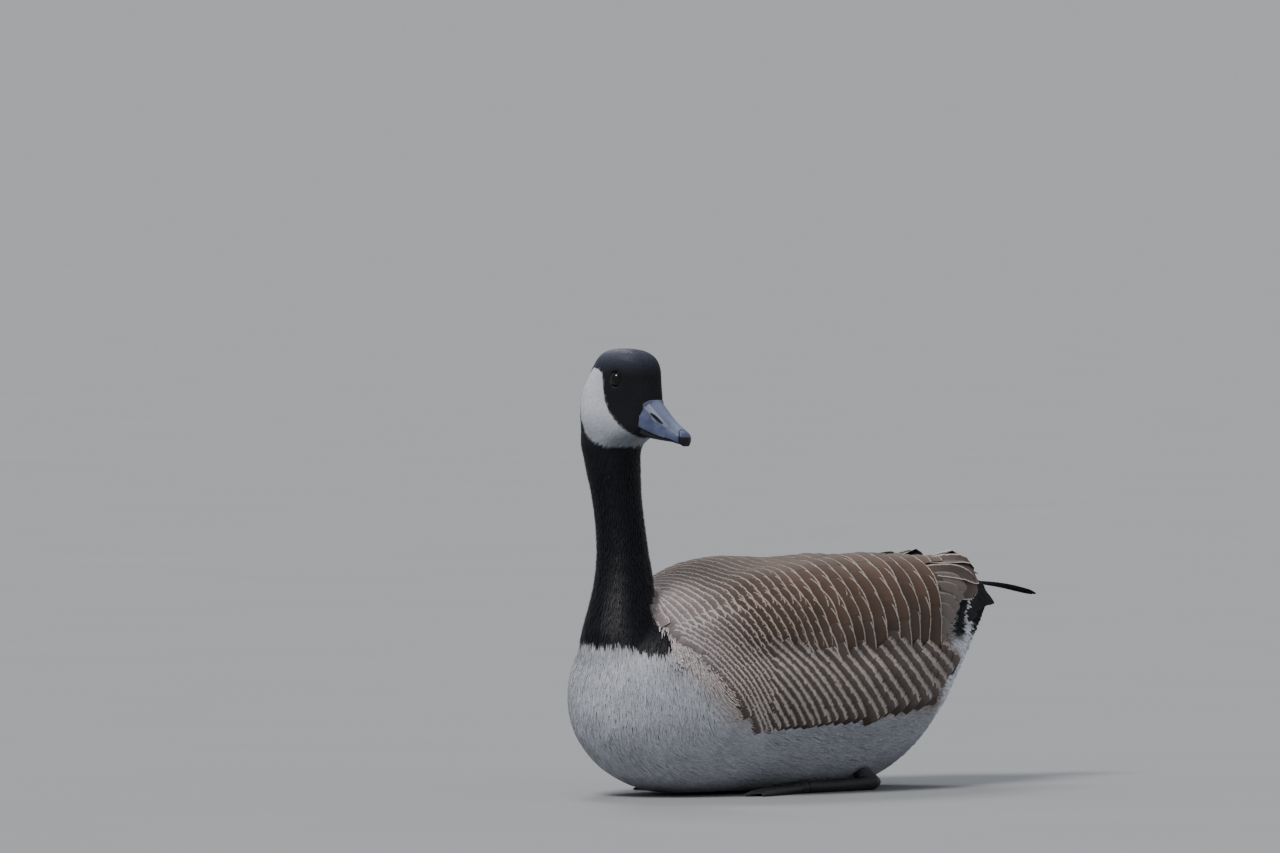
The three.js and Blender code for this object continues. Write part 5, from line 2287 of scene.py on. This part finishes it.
@dataclass
class Bill:
    """Upper and lower bill and nail, in smooth horn."""

    nodes: dict[str, bpy.types.Object]
    voxel: float = 0.6
    rounds: int = 5
    nail_voxel: float = 0.5
    nail_rounds: int = 14

    NODES = ("bill_upper", "bill_lower", "bill_nail")

    def build(self) -> None:
        """Makes and dresses the three pieces."""
        base = shield(self.nodes["head"])
        upper, lower, nail = (self.nodes[name] for name in self.NODES)
        self._piece("upper", [upper, base], "bill_skin", HornFinish("bill_horn"))
        self._piece("lower", [lower], "bill_skin", HornFinish("lower_horn", *HornFinish.DARK))
        self._piece("nail", [nail], "nail_horn", HornFinish("nail_horn", nail=True))
        bpy.data.objects.remove(base)

    def _piece(
        self, part: str, sources: Sequence[bpy.types.Object], slot: str, finish: HornFinish
    ) -> None:
        """Makes and dresses one piece.

        Args:
            part: Its name, without the bill's.
            sources: What it is made of.
            slot: The record's material slot.
            finish: Its finish.
        """
        size = (self.nail_voxel, self.nail_rounds) if finish.nail else (self.voxel, self.rounds)
        piece = remeshed("bill_horn_" + part, sources, *size)
        piece.data.materials.append(finish.material())
        dress(piece, slot, "bill_" + part)


@dataclass
class Feet:
    """Both shanks and webs, in scaled skin."""

    nodes: dict[str, bpy.types.Object]
    voxel: float = 0.9
    rounds: int = 3

    SCUTES = GrainFinish(
        "foot_scutes", (0.012, 0.012, 0.014), (0.035, 0.034, 0.036), 0.5, 620.0, 0.3, texture=Grain.CELLS
    )

    def build(self) -> None:
        """Makes and dresses the four pieces."""
        scutes = self.SCUTES.material()
        for side in Side:
            for name, node in (("shank", "leg"), ("web", "foot")):
                source = f"{node}_{side.tag}"
                piece = remeshed(f"{name}_{side.tag}", [self.nodes[source]], self.voxel, self.rounds)
                piece.data.materials.append(scutes)
                dress(piece, "leg_skin", source)


@dataclass
class Eye:
    """One eye with its lids.

    Attributes:
        side: Which eye.
        place: Its middle: along the head, out from the head's middle, and up.
        radius: The eyeball's radius.
        look: How far it looks ahead and up for each step out.
        rim_radius: The radius of the lids' rim.
        rim_thick: How thick that is.
        rim_out: How far out of the eye's middle it lies.
        almond: How it is stretched.
    """

    side: Side
    place: tuple = (28.0, 17.8, 365.8)
    radius: float = 6.9
    look: Band = (0.22, 0.04)
    rim_radius: float = 6.0
    rim_thick: float = 0.55
    rim_out: float = 3.3
    almond: tuple = (1.1, 0.9, 1.3)

    BALL = GrainFinish(
        "eye_wet", (0.0014, 0.00105, 0.00105), (0.0026, 0.00195, 0.00195), 0.04, 500, 0.02, gloss=0.36
    )
    RIM = GrainFinish(
        "lid_rim", (0.0042, 0.0042, 0.0049), (0.0078, 0.0078, 0.0091), 0.5, 500, 0.02, gloss=0.36
    )

    def middle(self) -> Vector:
        """The eyeball's middle, in millimetres."""
        along, out, up = self.place
        return Vector((along, BILL_BASE[1] + self.side.value * out, up))

    def build(self, ball: bpy.types.Material, rim: bpy.types.Material) -> None:
        """Makes and dresses the eyeball and the rim of the lids.

        Args:
            ball: The eyeball's finish.
            rim: The rim's.
        """
        made = bmesh.new()
        bmesh.ops.create_uvsphere(made, u_segments=48, v_segments=32, radius=self.radius * MM)
        dress(self._set(made, 0.0, "eyeball", ball), "eye_gloss", f"eye_{self.side.tag}")
        dress(self._set(self._rim(), self.rim_out, "lids", rim), "black_feather")

    def _rim(self) -> bmesh.types.BMesh:
        """Makes the bare rim of the lids.

        Returns:
            An almond ring that lies flat.
        """
        made = bmesh.new()
        upright = Matrix.Translation((self.rim_radius * MM, 0, 0)) @ Matrix.Rotation(math.pi / 2, 4, "X")
        bmesh.ops.create_circle(made, segments=10, radius=self.rim_thick * MM, matrix=upright)
        bmesh.ops.spin(
            made, geom=made.verts[:] + made.edges[:], cent=(0, 0, 0), axis=(0, 0, 1), angle=math.tau,
            steps=40, use_merge=True,
        )
        bmesh.ops.recalc_face_normals(made, faces=made.faces)
        bmesh.ops.scale(made, vec=self.almond, verts=made.verts)
        return made

    def _set(
        self, made: bmesh.types.BMesh, out: float, name: str, material: bpy.types.Material
    ) -> bpy.types.Object:
        """Turns what faces up to where the eye looks.

        Args:
            made: The mesh.
            out: How far out of the eye's middle it is set.
            name: The piece's name, without the side.
            material: Its finish.

        Returns:
            The piece.
        """
        ahead, up = self.look
        turn = Vector((ahead, self.side.value, up)).to_track_quat("Z", "Y").to_matrix()
        place = Matrix.Translation((self.middle() + turn @ Vector((0, 0, out))) * MM)
        bmesh.ops.transform(made, matrix=place @ turn.to_4x4(), verts=made.verts)
        return into_object(made, f"{name}_{self.side.tag}", material, soft=True)


@dataclass
class Studio:
    """The floor, the lights and the camera, in metres, but the camera's sensor in millimetres.

    The camera's distance and angles are measured from the target, and its aim lies to the right of it and
    over it. Each light has a name, a place, a power and a colour, and shines at the place that is lit.
    """

    target: tuple = (0.0, 0.0, 0.2)
    distance: float = 12.0
    azimuth: float = 47.0
    elevation: float = 2.0
    frame_width: float = 1.1264
    off_right: float = -0.0965
    off_up: float = 0.1208
    sensor: float = 36.0
    sees_to: float = 2000.0
    floor_radius: float = 400.0
    lit: tuple = (0.0, 0.0, 0.2)
    spread: float = 20.0
    lights: tuple = (
        ("key", (0.3, -1.5, 2.3), 2.6, (1.0, 0.985, 0.96)),
        ("rim", (-1.6, 0.9, 2.4), 1.5, (0.95, 0.98, 1.0)),
    )
    sky: tuple = ((0.72, 0.74, 0.78, 1), 0.6)

    FLOOR = GrainFinish("pale_floor", (0.289, 0.294, 0.307), (0.307, 0.313, 0.326), 0.85, 3, gloss=0.0)

    def build(self) -> None:
        """Sets the stage."""
        self._camera()
        made = bmesh.new()
        bmesh.ops.create_circle(made, cap_ends=True, segments=64, radius=self.floor_radius)
        into_object(made, "floor", self.FLOOR.material())
        for light in self.lights:
            self._light(*light)
        world = bpy.data.worlds.new("studio")
        world.use_nodes = True
        background = world.node_tree.nodes["Background"].inputs
        background["Color"].default_value, background["Strength"].default_value = self.sky
        bpy.context.scene.world = world

    def _camera(self) -> None:
        """Places the camera as the photograph's was."""
        az, el = math.radians(self.azimuth), math.radians(self.elevation)
        ahead = Vector((-math.sin(az) * math.cos(el), math.cos(az) * math.cos(el), -math.sin(el)))
        right = Vector((math.cos(az), math.sin(az), 0))
        place = Vector(self.target) - ahead * self.distance
        aim = Vector(self.target) + right * self.off_right + right.cross(ahead) * self.off_up
        data = bpy.data.cameras.new("view")
        data.sensor_width = self.sensor
        data.lens = self.sensor * self.distance / self.frame_width
        data.clip_end = self.sees_to
        bpy.context.scene.camera = self._aimed("view", data, place, aim)

    def _light(self, name: str, place: tuple, power: float, colour: tuple) -> None:
        """Adds one soft light that shines from a place towards the bird.

        Args:
            name: Its name.
            place: Where it shines from.
            power: How strong it is.
            colour: Its colour.
        """
        data = bpy.data.lights.new(name, "SUN")
        data.angle = math.radians(self.spread)
        data.energy = power
        data.color = colour
        self._aimed(name, data, Vector(place), Vector(self.lit))

    @staticmethod
    def _aimed(name: str, data: bpy.types.ID, place: Vector, aim: Vector) -> bpy.types.Object:
        """Puts a camera or a light in the scene.

        Args:
            name: Its name.
            data: What it is.
            place: Where it stands.
            aim: What it is turned to.

        Returns:
            The object.
        """
        made = add_object(name, data)
        made.location = place
        made.rotation_euler = (aim - place).to_track_quat("-Z", "Y").to_euler()
        return made


@dataclass
class Plumage:
    """All of the bird's feathers, piece by piece."""

    surface: Surface
    nodes: dict[str, bpy.types.Object]

    # A finish's depth is how much painted shade darkens its feathers' roots; the flank's is deepest, to shade
    # the valleys between its ridges.
    BLACK = VaneFinish("black_plumage", barbs=0.3, rough=0.42, gloss=0.25)
    WHITE = VaneFinish("white_plumage", barbs=0.3, rough=0.8, gloss=0.2, depth=0.3)
    BROWN = VaneFinish("brown_plumage", barbs=1.0, rough=0.62, gloss=0.25)
    FLANK = VaneFinish("flank_plumage", barbs=1.2, rough=0.7, gloss=0.2, depth=0.7, streak=0.7)
    HEAD = VaneFinish("head_plumage", barbs=0.2, rough=0.5, gloss=0.25, depth=0.14, streak=0.05)
    PALE = VaneFinish("breast_plumage", barbs=0.3, rough=0.85, gloss=0.2, depth=0.14, streak=0.06)
    TAIL = VaneFinish("tail_plumage", barbs=0.3, rough=0.85, gloss=0.04)

    def build(self) -> None:
        """Makes and dresses every piece."""
        coat = Coat(self.surface)
        bare = faces_of(self.nodes[name] for name in Bill.NODES)
        short = ShortPlumage(coat, bare, tuple(Eye(side).middle() for side in Side))
        pale, brown, flank = (finish.material() for finish in (self.PALE, self.BROWN, self.FLANK))
        dress(short.head(self.HEAD.material()), "black_feather")
        dress(short.neck(self.BLACK.material()), "black_feather")
        dress(short.breast(pale), "belly_feather")
        dress(short.belly(pale), "belly_feather")
        dress(short.rump(self.WHITE.material()), "belly_feather")
        vanes = BodyVanes(coat).build()
        dress(vanes["mantle"].piece(brown), "wing_feather")
        for side in Side:
            sheets = vanes[f"wing_{side.tag}"]
            WingTips(self.surface, side).build(sheets)
            dress(sheets.piece(brown), "wing_feather", f"wing_{side.tag}")
            dress(FlankVanes(coat, side=side).build(flank), "flank_feather", f"flank_{side.tag}")
        dress(Tail(self.surface).build(self.TAIL.material()), "black_feather", "tail")


def main() -> None:
    """Builds the goose."""
    logging.basicConfig(level=logging.INFO, format="%(name)s: %(message)s")
    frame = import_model()
    nodes = frame["nodes"]
    Studio().build()
    skin = Skin().build(nodes)
    Bill(nodes).build()
    Feet(nodes).build()
    ball, rim = Eye.BALL.material(), Eye.RIM.material()
    for side in Side:
        Eye(side).build(ball, rim)
    Plumage(Surface(skin), nodes).build()


if __name__ == "__main__":
    main()
